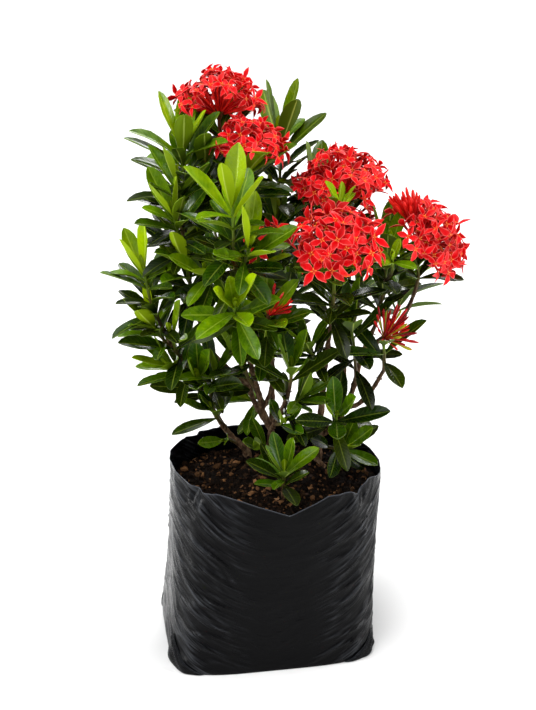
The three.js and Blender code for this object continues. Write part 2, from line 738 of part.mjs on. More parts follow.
// The buds of a young cluster stand all round; beside open florets they keep to one side.
function budsOf({ reach, spread, florets, buds = 0 }, name, core, facing, seed) {
  const bodies = [];
  for (let i = 0; i < buds; i++) {
    const around = florets ? BUD_SIDE.around + BUD_SIDE.step * i : i * GOLDEN_ANGLE;
    const off = spread * (florets ? BUD_SIDE.off + BUD_SIDE.rise * i : Math.sqrt((i + 0.3) / buds));
    const length = (florets ? BUD_SIDE.share * reach : BUD.length) * (1 + jitter(seed, i + 300, 0.12));
    const bud = budBody(core, domeDirection(facing, around, off), length);
    if (isClear(name, bud, LEAF.clearance)) bodies.push(bud);
  }
  return bodies;
}

Object.entries(HEADS).forEach(([name, head], index) => {
  const end = at(SHOOTS[head.on].route.at(-1));
  const { direction } = backFromEnd(SHOOTS[head.on].route.map(at), 0);
  const facing = at(head.axis).normalize();
  const radius = head.florets ? PEDUNCLE.radius : GREEN_RADIUS;
  const start = end.clone().addScaledVector(direction, CLEARANCE);
  const bend = start.clone().addScaledVector(direction, PEDUNCLE.bend);
  const core = bend.clone().addScaledVector(facing, head.florets ? PEDUNCLE.length : 1);
  const ball = new THREE.OctahedronGeometry(head.florets ? CORE_SHARE * head.reach : BUD.core);
  const body = largest(wasm.Manifold.union([
    stem([start, bend, core], radius, radius, WOOD_SIDES),
    solidFromGeometry(ball.translate(...core.toArray())),
    ...floretsOf(head, name, core, facing, index + 1),
    ...budsOf(head, name, core, facing, index + 1),
  ]));
  addNode(name, body, head.florets ? petalMaterial : budMaterial);
  stand(name, body);
});

// The leaves come last, so that they bend clear of the stems and the flower heads.
Object.entries(SHOOTS).forEach(([name, shoot], index) => {
  const leaves = leavesOf(shoot, name, index + 1);
  if (shoot.side) leaves.push(...leavesOf(shoot.side, name, index + 51));
  addNode(name, largest(wasm.Manifold.union([shootStems[name], ...leaves])), leafMaterial);
});

export default group;
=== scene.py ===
import math
import random

import bpy
from mathutils import Matrix, Vector, noise
from mathutils.bvhtree import BVHTree
from mathutils.kdtree import KDTree


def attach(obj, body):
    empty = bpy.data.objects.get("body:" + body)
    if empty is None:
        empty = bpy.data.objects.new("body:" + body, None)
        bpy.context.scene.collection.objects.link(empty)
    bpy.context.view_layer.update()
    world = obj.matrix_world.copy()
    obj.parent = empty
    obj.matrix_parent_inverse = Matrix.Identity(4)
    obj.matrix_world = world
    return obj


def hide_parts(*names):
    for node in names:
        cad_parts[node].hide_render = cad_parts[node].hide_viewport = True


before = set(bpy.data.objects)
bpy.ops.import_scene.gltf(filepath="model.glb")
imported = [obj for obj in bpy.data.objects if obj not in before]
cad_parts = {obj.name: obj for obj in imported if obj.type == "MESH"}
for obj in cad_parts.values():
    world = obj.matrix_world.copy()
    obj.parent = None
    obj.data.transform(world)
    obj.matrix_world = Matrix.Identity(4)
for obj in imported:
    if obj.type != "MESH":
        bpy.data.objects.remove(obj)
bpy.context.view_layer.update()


# ------------------------------------------------------------------ nursery bag
# The bag is a tube of black low-density polythene film, blown, cut to length by hand and welded
# across its bottom. The soil pushes it out to a rounded block, and its wall hangs in fine wrinkles
# that sag between the corners, where the film is gathered.
MM = 0.001
BAG_TURN = math.radians(9.6)
FOOT = dict(width=194, depth=167, squareness=4.6, lean=-7)
MOUTH = dict(width=195, depth=158, squareness=2.2, lean=4)
RIM_HEIGHT = 175
RIM_WAVE = dict(height=6, at=175)             # sizes in mm and angles in degrees, as in all four
DIP = dict(depth=17, at=-80, before=46, after=24)
RIM_FOLD = dict(depth=6, at=-135, width=20)
NICKS = [(5, -35, 4), (-4, -24, 8)]           # height, place and width
SHOULDER, WAIST, FILL = 9, 75, 154            # heights of the rounded foot, the waist and the soil
FILM_COLUMNS, FILM_ROWS = 360, 110
FILM_THICKNESS = 0.4
SAG = 58                                      # wrinkles hang this much lower halfway along a wall
LONG_FOLD, FINE_FOLD = 1.6, 0.8               # heights of the two kinds of wrinkles
PLEATS = [(-139, 4.0), (-33, 4.0), (38, 3.0), (150, 3.0)]    # place and depth of dents in the loose rim
PLEAT_WIDTH = 3.4


def pick(*pieces):
    """Selects just these objects and makes the first one active."""
    bpy.ops.object.select_all(action="DESELECT")
    for piece in pieces:
        piece.select_set(True)
    bpy.context.view_layer.objects.active = pieces[0]


def named(name):
    """Names the object that was just added."""
    bpy.context.object.name = bpy.context.object.data.name = name
    return bpy.context.object


def apply(piece, kind, **settings):
    """Adds a modifier to the piece and applies it."""
    pick(piece)
    modifier = piece.modifiers.new(kind.lower(), kind)
    for key, value in settings.items():
        setattr(modifier, key, value)
    bpy.ops.object.modifier_apply(modifier=modifier.name)


def join(name, pieces):
    """Makes one object of several."""
    pick(*pieces)
    bpy.ops.object.join()
    return named(name)


def point_values(piece, name):
    """A new attribute with one number for each point of the piece."""
    return piece.data.attributes.new(name, "FLOAT", "POINT").data


def between(low, high, share):
    """The value at that share of the way, held between 0 and 1."""
    return low + (high - low) * min(max(share, 0.0), 1.0)


def eased(low, high, value):
    """0 below low, 1 above high and a smooth step between them."""
    share = between(0.0, 1.0, (value - low) / (high - low))
    return share * share * (3 - 2 * share)


def swelling(z):
    """How far the soil pushes the wall out at that height, as a factor."""
    if z < SHOULDER:
        return 0.985 + 0.015 * math.sqrt(1 - (1 - z / SHOULDER) ** 2)
    if z < FILL:
        span = WAIST - SHOULDER if z < WAIST else FILL - WAIST
        return 1 - 0.02 * math.cos((z - WAIST) / span * math.pi / 2)
    return 1.0


def wall_point(angle, z, inset=0.0):
    """A point of the bag's wall in mm: a rounded block below that opens to an oval mouth."""
    rise = min(z / RIM_HEIGHT, 1)
    power = between(FOOT["squareness"], MOUTH["squareness"], rise)
    cos = abs(math.cos(angle - BAG_TURN)) * 2 / between(FOOT["width"], MOUTH["width"], rise)
    sin = abs(math.sin(angle - BAG_TURN)) * 2 / between(FOOT["depth"], MOUTH["depth"], rise)
    reach = (cos**power + sin**power) ** (-1 / power) * swelling(z) - inset
    lean = between(FOOT["lean"], MOUTH["lean"], rise)
    return Vector((reach * math.cos(angle) + lean, reach * math.sin(angle), z))


def past(angle, target):
    """Degrees by which an angle is past a target in degrees, from -180 to 180."""
    return (math.degrees(angle) - target + 180) % 360 - 180


def rim_height(angle):
    """The hand-cut rim: higher on the left, with a V in front, a fold beside it and a small nick."""
    to_dip = past(angle, DIP["at"])
    dip = DIP["depth"] * max(0.0, 1 - abs(to_dip) / (DIP["before"] if to_dip < 0 else DIP["after"]))
    fold = RIM_FOLD["depth"] * max(0.0, 1 - abs(past(angle, RIM_FOLD["at"])) / RIM_FOLD["width"])
    nick = sum(height * math.exp(-((past(angle, at) / width) ** 2)) for height, at, width in NICKS)
    wave = RIM_WAVE["height"] * math.cos(math.radians(past(angle, RIM_WAVE["at"])))
    return RIM_HEIGHT + wave - dip - fold - nick


def angles_round(count):
    """Angles that share the wall's length evenly, from the middle of the back round to it again."""
    fine = [BAG_TURN + math.pi / 2 + math.tau * i / 1440 for i in range(1441)]
    walked = [0.0]
    for a, b in zip(fine, fine[1:]):
        walked.append(walked[-1] + (wall_point(b, WAIST) - wall_point(a, WAIST)).length)
    angles, i = [], 0
    for step in range(count + 1):
        while i < 1439 and walked[i + 1] < walked[-1] * step / count:
            i += 1
        share = (walked[-1] * step / count - walked[i]) / (walked[i + 1] - walked[i])
        angles.append(fine[i] + (fine[i + 1] - fine[i]) * share)
    return angles, walked[-1]


def crease(value, width):
    """A narrow ridge where a noise passes through nought."""
    return max(0.0, 1 - abs(value) / width) ** 1.5


film_angles, bag_girth = angles_round(FILM_COLUMNS)


def to_side(turn):
    """0 in the middle of the front and of the back of the bag and 1 at its two sides."""
    return 1 - abs(1 - (turn / math.pi) % 2 % 1 * 2)


def sagged(turn, z):
    """The height that the wrinkle through this point has in the middle of the front or back."""
    return z - SAG / 2 * (1 - math.cos(math.pi * to_side(turn)))


def film_folds(turn, z):
    """How high the wrinkles stand there, from 0 to 2.4 mm. A full turn goes once round the bag."""
    ring = Vector((math.cos(turn), math.sin(turn), 0))
    level = sagged(turn, z) + 10 * noise.noise(ring * 2.3 + Vector((0, 0, z / 55)))
    long_folds = crease(noise.noise(ring * 2.2 + Vector((0, 0, level / 14))), 0.28)
    fine_folds = crease(noise.noise(ring * 3.8 + Vector((4, 1, level / 8))), 0.35)
    return LONG_FOLD * long_folds + FINE_FOLD * fine_folds


def film_relief(angle, turn, z):
    """How far the wrinkled film stands out of the smooth wall, in mm."""
    ring = Vector((math.cos(turn), math.sin(turn), 0))
    gathered = 0.3 + 0.7 * eased(0.15, 0.5, to_side(turn)) - 0.45 * eased(0.55, 0.8, to_side(turn))
    dents = noise.noise(ring * 3.0 + Vector((7, 3, z / 45)))
    relief = gathered * (film_folds(turn, z) - 1.1) + 0.8 * dents
    loose = eased(FILL - 6, RIM_HEIGHT, z)
    relief += loose * 1.5 * noise.noise(ring * 5 + Vector((2, 5, z / 60)))
    for pleat_at, depth in PLEATS:
        relief -= depth * loose * math.exp(-((past(angle, pleat_at) / PLEAT_WIDTH) ** 2))
    return relief * eased(0, 7, z)


def film_point(angle, turn, z):
    """A point of the wrinkled film, in mm."""
    step = 0.002
    run = wall_point(angle + step, z) - wall_point(angle - step, z)
    outward = Vector((run.y, -run.x, 0)).normalized()
    return wall_point(angle, z) + outward * film_relief(angle, turn, z)


bpy.ops.mesh.primitive_grid_add(x_subdivisions=FILM_COLUMNS, y_subdivisions=FILM_ROWS, size=2)
film = named("bag_film")
heights = {}
# Two masks of painted light: a painted highlight along the cut edge, and a painted grey sheen on the wrinkles
# where the film is gathered, partly the real whitening of stretched film.
edge_highlight_shares, sheen_and_whitening = point_values(film, "painted_edge_highlight"), point_values(film, "sheen_and_whitening")
for vertex in film.data.vertices:
    column = round((vertex.co.x + 1) / 2 * FILM_COLUMNS)
    share = (vertex.co.y + 1) / 2
    edge_highlight_shares[vertex.index].value = float(share > 0.999)
    angle = film_angles[column]
    z = rim_height(angle) * (0.3 * share**2 + 0.7 * share)
    turn = math.tau * column / FILM_COLUMNS
    folded = film_folds(turn, z) / (LONG_FOLD + FINE_FOLD)
    # painted sheen: stronger towards the sides and on the wrinkle crests
    sheen_and_whitening[vertex.index].value = eased(0.12, 0.6, to_side(turn)) * folded
    heights[vertex.index] = sagged(turn, z)
    vertex.co = film_point(angle, turn, z) * MM
for polygon in film.data.polygons:
    for loop in polygon.loop_indices:
        uv = film.data.uv_layers.active.data[loop].uv
        uv.x *= bag_girth * MM
        uv.y = heights[film.data.loops[loop].vertex_index] * MM
pick(film)
bpy.ops.object.mode_set(mode="EDIT")
bpy.ops.mesh.select_all(action="SELECT")
bpy.ops.mesh.remove_doubles(threshold=1e-6)
bpy.ops.mesh.select_all(action="DESELECT")
bpy.ops.object.mode_set(mode="OBJECT")
for edge in film.data.edges:
    edge.select = all(film.data.vertices[i].co.z < 1e-6 for i in edge.vertices)
bpy.ops.object.mode_set(mode="EDIT")
bpy.ops.mesh.select_mode(type="EDGE")
bpy.ops.mesh.edge_face_add()
bpy.ops.mesh.select_all(action="SELECT")
bpy.ops.mesh.normals_make_consistent(inside=False)
bpy.ops.object.mode_set(mode="OBJECT")
apply(film, "SOLIDIFY", thickness=FILM_THICKNESS * MM, offset=-1)
bpy.ops.object.shade_smooth_by_angle(angle=math.radians(50))


def linear(hex_colour):
    """The linear colour of an sRGB hex value such as 0x3f7a22."""
    parts = [(hex_colour >> shift & 255) / 255 for shift in (16, 8, 0)]
    return (*[p / 12.92 if p <= 0.04045 else ((p + 0.055) / 1.055) ** 2.4 for p in parts], 1.0)


def material(name):
    """An empty node material with its shader."""
    made = bpy.data.materials.new(name)
    made.use_nodes = True
    return made, made.node_tree, made.node_tree.nodes["Principled BSDF"]


def node(tree, kind, sockets, **settings):
    """Adds a node, sets its properties, and sets or links its input sockets. Returns its first output."""
    made = tree.nodes.new("ShaderNode" + kind)
    for key, value in settings.items():
        setattr(made, key, value)
    for key, value in sockets.items():
        if isinstance(value, bpy.types.NodeSocket):
            tree.links.new(value, made.inputs[key])
        else:
            made.inputs[key].default_value = value
    return made.outputs[0]


def ramp(tree, factor, *stops):
    """A colour ramp with stops of place and hex colour."""
    socket = node(tree, "ValToRGB", {"Fac": factor})
    elements = socket.node.color_ramp.elements
    while len(elements) < len(stops):
        elements.new(0.5)
    for element, (place, colour) in zip(elements, stops):
        element.position, element.color = place, linear(colour)
    return socket


def blend_colour(tree, factor, first, second):
    """Mixes two colours, each a hex value or a socket."""
    mixer = tree.nodes.new("ShaderNodeMix")
    mixer.data_type = "RGBA"
    for key, value in ((0, factor), (6, first), (7, second)):
        if isinstance(value, bpy.types.NodeSocket):
            tree.links.new(value, mixer.inputs[key])
        else:
            mixer.inputs[key].default_value = linear(value) if key else value
    return mixer.outputs[2]


def maths(tree, way, first, second=0.0, third=0.0, clamp=False):
    """One step of arithmetic on numbers or sockets."""
    return node(tree, "Math", {0: first, 1: second, 2: third}, operation=way, use_clamp=clamp)


def coordinates(tree, kind, scale=None):
    """The object's own coordinates in metres or its UV map, and scaled unevenly if a scale is given."""
    place = tree.nodes.new("ShaderNodeTexCoord").outputs[kind]
    return node(tree, "Mapping", {"Vector": place, "Scale": scale}) if scale else place


def attribute(tree, name):
    """The values of an attribute of the mesh."""
    made = tree.nodes.new("ShaderNodeAttribute")
    made.attribute_name = name
    return made.outputs["Fac"]


def cloud(tree, place, scale, detail, roughness=0.5):
    """A soft noise with values around 0.5. The scale is in spots to the metre."""
    return node(tree, "TexNoise", {"Vector": place, "Scale": scale, "Detail": detail, "Roughness": roughness})


def ranged(tree, value, low, high, at_low=0.0, at_high=1.0):
    """Turns values from low to high into values from at_low to at_high, and holds the ends."""
    return node(tree, "MapRange", {"Value": value, "From Min": low, "From Max": high,
                                   "To Min": at_low, "To Max": at_high})


def surface(tree, shader, colour, roughness, specular):
    """Gives the shader its colour, roughness and reflection, each a value or a socket."""
    for key, value in (("Base Color", colour), ("Roughness", roughness), ("Specular IOR Level", specular)):
        if isinstance(value, bpy.types.NodeSocket):
            tree.links.new(value, shader.inputs[key])
        else:
            shader.inputs[key].default_value = linear(value) if key == "Base Color" else value


def emboss(tree, shader, height, strength, depth):
    """Gives the surface a fine relief of that depth in mm."""
    relief = node(tree, "Bump", {"Height": height, "Strength": strength, "Distance": depth * MM})
    tree.links.new(relief, shader.inputs["Normal"])


# Polythene film, blown: it is nearly black all through, with a waxy half gloss. Stretch marks run
# along the sag of the wall about 3 mm apart. Where it is gathered, they stand out more and its
# wrinkles carry a painted grey sheen, partly the real whitening of stretched film; its cut edge
# carries a painted grey highlight.
polythene, tree, shader = material("blown_black_polythene")
streak = cloud(tree, coordinates(tree, "UV", (26, 320, 1)), 1.0, 3.0, 0.6)
patch = cloud(tree, coordinates(tree, "UV", (14, 30, 1)), 1.0, 2.0)
gathered_sheen = attribute(tree, "sheen_and_whitening")
# painted sheen: grey streaks on the gathered wrinkles
painted_sheen = maths(tree, "MULTIPLY", gathered_sheen, ranged(tree, streak, 0.46, 0.7))
painted_sheen = maths(tree, "MULTIPLY", painted_sheen, 1.35, clamp=True)
black = blend_colour(tree, painted_sheen, ramp(tree, patch, (0.35, 0x030304), (0.7, 0x050506)), 0x3c3e42)
# painted highlight along the cut edge of the film and the side edges of the tucked folds
lit_edges = blend_colour(tree, maths(tree, "POWER", attribute(tree, "painted_edge_highlight"), 3.0), black, 0x474a50)
surface(tree, shader, lit_edges, ranged(tree, patch, 0.35, 0.65, 0.2, 0.32), 0.07)
emboss(tree, shader, streak, maths(tree, "MULTIPLY_ADD", gathered_sheen, 0.7, 0.4), 1.5)
film.data.materials.append(polythene)
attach(film, "root")
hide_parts("grow_bag")


# ------------------------------------------------------------------ tucked corners of the bag
# At each bottom corner the flat tube's spare film is tucked under, and a three-cornered fold of it
# lies against the wall. Each fold is a doubled piece of the same film, pressed on by the soil.
TUCKS = [                                     # corner in degrees, width on each side, height, lean
    (-131.1, 34, 18, 25, -24), (-29.7, 24, 14, 20, 12), (48.9, 26, 24, 24, 4), (150.3, 22, 26, 22, -4),
]
TUCK_CELLS = 16
TUCK_RAYS = 9                                 # wrinkles that spread from the point of a fold
tucks = []
for corner, before, after, height, lean in TUCKS:
    bpy.ops.mesh.primitive_grid_add(x_subdivisions=TUCK_CELLS, y_subdivisions=TUCK_CELLS, size=2)
    tuck = bpy.context.object
    middle = min(range(FILM_COLUMNS), key=lambda i: abs(past(film_angles[i], corner)))
    edges, crest_sheen = point_values(tuck, "painted_edge_highlight"), point_values(tuck, "sheen_and_whitening")
    for vertex in tuck.data.vertices:
        side, rise = vertex.co.x, (vertex.co.y + 1) / 2
        # painted highlight along the side edges of the fold
        edges[vertex.index].value = 0.8 * (abs(side) > 0.99)
        width = before if side < 0 else after
        column = middle + (side * width * (1 - 0.94 * rise) + lean * rise) * FILM_COLUMNS / bag_girth
        low, share = math.floor(column), column - math.floor(column)
        angle = film_angles[low] + (film_angles[low + 1] - film_angles[low]) * share
        z = 0.7 + height * rise * (1 - 0.35 * abs(side) * (1 - rise))
        point = film_point(angle, math.tau * column / FILM_COLUMNS, z)
        outward = Vector((math.cos(angle), math.sin(angle), 0))
        ray = math.sin(TUCK_RAYS * math.atan2(side, 1.3 - rise) + corner)
        # painted sheen along the wrinkles that spread from the point of the fold
        crest_sheen[vertex.index].value = eased(0.3, 1, ray)
        lift = 0.9 + (2.6 - 2.2 * rise + 0.8 * ray * (1 - rise)) * (1 - side**4) * (1 - rise**4)
        vertex.co = (point + outward * lift) * MM
    apply(tuck, "SOLIDIFY", thickness=0.5 * MM, offset=0)
    tucks.append(tuck)
folds = join("bag_corner_folds", tucks)
bpy.ops.object.shade_smooth_by_angle(angle=math.radians(40))
folds.data.materials.append(polythene)
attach(folds, "root")


# ------------------------------------------------------------------ potting soil
# A loose mix of composted bark and peat, heaped a little round the stems. It is nearly black where
# it is moist, crumbly all over, and it fills the bag down to its foot.
SOIL_CELLS = 150
SOIL_CROWN = 6
SOIL_INSET = 2.6                              # clear of the film's inner wrinkles
SOIL_LEVELS = [120, WAIST, 30, SHOULDER, 1.5]    # heights of the rings of its side, from the top down


def soil_height(x, y, share):
    """The height of the crumbly top at a place, in mm."""
    place = Vector((x, y, 0))
    lumps = 2.6 * noise.noise(place / 17) + 2.2 * noise.noise(place / 7 + Vector((9, 0, 0)))
    crumbs = 1.9 * noise.noise(place / 3.1) + 1.2 * crease(noise.noise(place / 4.4), 0.3)
    return FILL + SOIL_CROWN * (1 - share**2) + (lumps + crumbs) * between(0.4, 1.0, (1 - share) * 8)


bpy.ops.mesh.primitive_grid_add(x_subdivisions=SOIL_CELLS, y_subdivisions=SOIL_CELLS, size=2)
soil = named("potting_soil")
for vertex in soil.data.vertices:
    u, v = vertex.co.x, vertex.co.y
    x, y = u * math.sqrt(1 - v * v / 2), v * math.sqrt(1 - u * u / 2)
    share, angle = math.hypot(x, y), math.atan2(y, x)
    edge = wall_point(angle, FILL, SOIL_INSET) * share
    vertex.co = Vector((edge.x, edge.y, soil_height(edge.x, edge.y, share))) * MM
pick(soil)
bpy.ops.object.mode_set(mode="EDIT")
bpy.ops.mesh.select_all(action="SELECT")
bpy.ops.mesh.region_to_loop()
for z in SOIL_LEVELS:
    bpy.ops.mesh.extrude_edges_move()
    bpy.ops.object.mode_set(mode="OBJECT")
    for vertex in soil.data.vertices:
        if vertex.select:
            lean = between(FOOT["lean"], MOUTH["lean"], z / RIM_HEIGHT) * MM
            angle = math.atan2(vertex.co.y, vertex.co.x - (lean if z < SOIL_LEVELS[0] else 0))
            vertex.co = wall_point(angle, z, SOIL_INSET) * MM
    bpy.ops.object.mode_set(mode="EDIT")
bpy.ops.mesh.edge_face_add()
bpy.ops.mesh.select_all(action="SELECT")
bpy.ops.mesh.normals_make_consistent(inside=False)
bpy.ops.object.mode_set(mode="OBJECT")
bpy.ops.object.shade_smooth_by_angle(angle=math.radians(60))

# Composted bark and peat, moist: dark brown with dull rust-coloured specks, matt, in grains of about
# 2 mm, and random patches about a centimetre across darkened towards near black as painted shade.
# On loose crumbs a high tint turns it tan, like freshly broken bark.
compost, tree, shader = material("moist_bark_compost")
place = coordinates(tree, "Object")
grain = cloud(tree, place, 420.0, 5.0, 0.7)
specks = node(tree, "TexVoronoi", {"Vector": place, "Scale": 330.0})
# painted shade: random patches that darken the soil towards near black
lumps = maths(tree, "MULTIPLY", cloud(tree, place, 90.0, 3.0), 0.7)
brown = ramp(tree, grain, (0.38, 0x030201), (0.52, 0x0e0805), (0.64, 0x2e1e14), (0.76, 0x7c5a42))
rust = maths(tree, "MULTIPLY", ranged(tree, specks, 0.14, 0.08), 0.25)
rusty = blend_colour(tree, rust, blend_colour(tree, lumps, brown, 0x0d0704), 0x6e4a30)
broken = maths(tree, "POWER", attribute(tree, "tint"), 5.0)
surface(tree, shader, blend_colour(tree, broken, rusty, 0xa87850), 0.82, 0.06)
emboss(tree, shader, grain, 0.9, 1.2)
soil.data.materials.append(compost)
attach(soil, "root")
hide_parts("soil")


# ------------------------------------------------------------------ crumbs and bark chips
# Loose bits lie on the soil: crumbs of 1 to 5 mm, a few clods of up to 9 mm, and splinters and chips
# of pine bark, some of them freshly broken and tan. They only rest on it.
BITS_REACH = 0.94                             # how far towards the wall they lie
CLODS, BIG_CLODS, CHIPS = 1060, 160, 110
bits = random.Random(11)


def on_soil(rand):
    """A random place on the soil, in mm."""
    share, angle = BITS_REACH * math.sqrt(rand.random()), rand.uniform(0, math.tau)
    edge = wall_point(angle, FILL, SOIL_INSET) * share
    return Vector((edge.x, edge.y, soil_height(edge.x, edge.y, share)))


def copied(template, matrix=None):
    """A copy of the template with its own mesh, moved by a matrix in metres."""
    copy = template.copy()
    copy.data = template.data.copy()
    bpy.context.collection.objects.link(copy)
    if matrix:
        copy.data.transform(matrix)
    return copy


def fill_attribute(piece, name, value):
    """Gives every point of the piece the same value."""
    point_values(piece, name).foreach_set("value", [value] * len(piece.data.vertices))


def scattered(template, count, rand, sizes, tints):
    """Copies of a template on the soil, turned at random. The sizes are half lengths in mm."""
    places = [on_soil(rand) for _ in range(count)]
    copies = []
    for place in places:
        size = [rand.uniform(*span) for span in sizes]
        turn = Matrix.Rotation(rand.uniform(0, math.tau), 4, "Z")
        tilt = Matrix.Rotation(rand.gauss(0, 0.35), 4, rand.choice("XY"))
        seat = Matrix.Translation((place + Vector((0, 0, 0.35 * size[2]))) * MM)
        copies.append(copied(template, seat @ turn @ tilt @ Matrix.Diagonal((*[s * MM for s in size], 1))))
        fill_attribute(copies[-1], "tint", rand.uniform(*tints))
    bpy.data.objects.remove(template)
    return copies


bpy.ops.mesh.primitive_ico_sphere_add(subdivisions=1, radius=1)
clod = bpy.context.object
for vertex in clod.data.vertices:
    vertex.co *= 1 + 0.45 * noise.noise(vertex.co * 1.3 + Vector((5, 5, 5)))
clods = scattered(clod, CLODS, bits, ((0.6, 2.4), (0.6, 2.0), (0.5, 1.7)), (0.0, 0.9))
for big in clods[:BIG_CLODS]:
    middle = sum((vertex.co for vertex in big.data.vertices), Vector()) / len(big.data.vertices)
    big.data.transform(Matrix.Translation(middle) @ Matrix.Scale(2, 4) @ Matrix.Translation(-middle))
crumbs = join("soil_crumbs", clods)
bpy.ops.object.shade_smooth_by_angle(angle=math.radians(30))
crumbs.data.materials.append(compost)
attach(crumbs, "root")

bpy.ops.mesh.primitive_cube_add(size=2)
chip = bpy.context.object
apply(chip, "BEVEL", width=0.22, segments=1)
for vertex in chip.data.vertices:
    vertex.co.x *= 1 + 0.25 * vertex.co.y
    vertex.co.z += 0.35 * vertex.co.x * vertex.co.y
chips = join("bark_chips", scattered(chip, CHIPS, bits, ((1.0, 3.4), (0.6, 1.6), (0.3, 0.8)), (0.0, 1.0)))

# Pine bark, broken: rust to tan on the fresh faces and grey-brown outside, with a fine grain.
bark_chip, tree, shader = material("broken_pine_bark")
grain = maths(tree, "MULTIPLY", cloud(tree, coordinates(tree, "Object"), 700.0, 3.0), 0.5)
tint = attribute(tree, "tint")
wood = ramp(tree, tint, (0.0, 0x1e130d), (0.6, 0x442c1d), (0.88, 0x805335), (1.0, 0xb48a64))
surface(tree, shader, blend_colour(tree, grain, wood, 0x24150d), 0.75, 0.15)
chips.data.materials.append(bark_chip)
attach(chips, "root")


# ------------------------------------------------------------------ woody stems
# Ixora wood is grey-brown and thin-barked. Each stem is swollen at its foot and at its nodes, where
# the stumps of fallen leaves and cut twigs stand in opposite pairs. Feet stand deep in the soil.
SOIL_SKIN, STEM_FOOT = 163.2, 118             # heights of the soil's top there and of the buried foot
NODE_GAP = 13
CLUMPS = {                                    # radius at the foot and at the end, and route, in mm
    "stems_left": [
        (3.2, 2.0, [(-23, 38, 158), (-38, 32, 184), (-46, 25, 199),
                   (-62, 12, 234), (-77, 0, 268), (-92, -12, 298)]),
    ],
    "stems_centre": [
        (3.4, 2.0, [(0, 14, 158), (0, 9, 200), (-8, 5, 222), (-11, 2, 237),
                   (-17, -3, 262), (-21, -10, 286), (-27, -22, 314), (-30, -38, 341)]),
        (2.4, 1.8, [(0, 9, 200), (6, -10, 222), (12, -22, 240), (16, -34, 259)]),
        (2.6, 1.7, [(0, 9, 200), (-18, 32, 225), (-29, 38, 279),
                   (-36, 40, 346), (-39, 38, 411), (-40, 36, 446)]),
        (2.2, 1.7, [(-20, 33, 233), (-53, 28, 269), (-64, 22, 298),
                   (-69, 15, 319), (-73, 9, 350), (-76, 5, 385)]),
        (2.0, 1.7, [(-24, 35, 252), (-34, 24, 282), (-39, 16, 306), (-44, 8, 336), (-42, 10, 370)]),
        (2.0, 1.7, [(-8, 5, 222), (-1, 4, 240), (2, -5, 262), (0, -15, 281)]),
    ],
    "stems_right": [
        (4.2, 2.0, [(44, 34, 158), (45, 24, 188), (47, 8, 236), (48, -8, 268), (51, -30, 313)]),
        (3.2, 1.8, [(45, 24, 188), (60, 26, 198), (74, 20, 231), (83, 10, 276), (93, 5, 304)]),
        (2.4, 1.8, [(68, 23, 217), (80, 18, 222), (91, 8, 239), (101, -8, 266)]),
        (2.2, 1.8, [(83, 10, 276), (103, 10, 293), (119, 5, 314), (127, 2, 336)]),
        (2.6, 1.7, [(60, 26, 198), (67, 26, 238), (68, 28, 272), (70, 30, 320), (71, 30, 350)]),
    ],
    "stem_back": [
        (3.0, 1.8, [(-1, 48, 158), (1, 52, 213), (1, 55, 253), (4, 60, 311), (6, 66, 376)]),
    ],
    "stem_front": [
        (2.2, 1.7, [(11, -46, 158), (11, -46.4, 164.6)]),
    ],
}
DEAD_WOOD = [(44, 30, 160), (41, 17, 168), (50, 3, 166)]     # a dead branch at the foot of the right clump


def smooth_route(points, step):
    """Points about a step apart on a smooth curve through the given points, in mm."""
    points = [Vector(point) for point in points]
    gaps = [(b - a).length for a, b in zip(points, points[1:])]
    slopes = []
    for i in range(len(points)):
        low, high = max(i - 1, 0), min(i + 1, len(points) - 1)
        slopes.append((points[high] - points[low]) / sum(gaps[low:high]))
    route = []
    for i, gap in enumerate(gaps):
        count = max(1, round(gap / step))
        for t in [j / count for j in range(count)]:
            route.append(points[i] * (2 * t**3 - 3 * t**2 + 1) + points[i + 1] * (3 * t**2 - 2 * t**3)
                         + (slopes[i] * (t**3 - 2 * t**2 + t) + slopes[i + 1] * (t**3 - t**2)) * gap)
    return route + [points[-1]]


def distances(route):
    """How far along the route each of its points lies, in mm."""
    walked = [0.0]
    for a, b in zip(route, route[1:]):
        walked.append(walked[-1] + (b - a).length)
    return walked


def tube(route, radii, sides):
    """A closed round stem along a route in mm, with a radius at each point."""
    bpy.ops.object.select_all(action="DESELECT")
    bpy.ops.curve.primitive_bezier_curve_add()
    curve = bpy.context.object
    curve.data.splines.clear()
    spline = curve.data.splines.new("POLY")
    spline.points.add(len(route) - 1)
    for point, place, radius in zip(spline.points, route, radii):
        point.co = (*(Vector(place) * MM), 1)
        point.radius = radius
    curve.data.bevel_depth = MM
    curve.data.bevel_resolution = sides // 2 - 2
    curve.data.use_fill_caps = True
    pick(curve)
    bpy.ops.object.convert(target="MESH")
    bpy.ops.object.mode_set(mode="EDIT")
    bpy.ops.mesh.select_all(action="SELECT")
    bpy.ops.mesh.remove_doubles(threshold=1e-7)
    bpy.ops.mesh.normals_make_consistent(inside=False)
    bpy.ops.object.mode_set(mode="OBJECT")
    return bpy.context.object


def square_to(direction):
    """Two directions square to the given one."""
    reference = Vector((0, 1, 0)) if abs(direction.x) > 0.9 else Vector((1, 0, 0))
    first = (reference - direction * reference.dot(direction)).normalized()
    return first, direction.cross(first)


def standing(place, direction, turn, scale):
    """The matrix that stands a template on a place in mm with its Z axis along a direction."""
    first, second = square_to(direction)
    side = first * math.cos(turn) + second * math.sin(turn)
    rows = Matrix((side, direction.cross(side), direction)).transposed().to_4x4()
    return Matrix.Translation(place * MM) @ rows @ Matrix.Diagonal((*scale, 1))


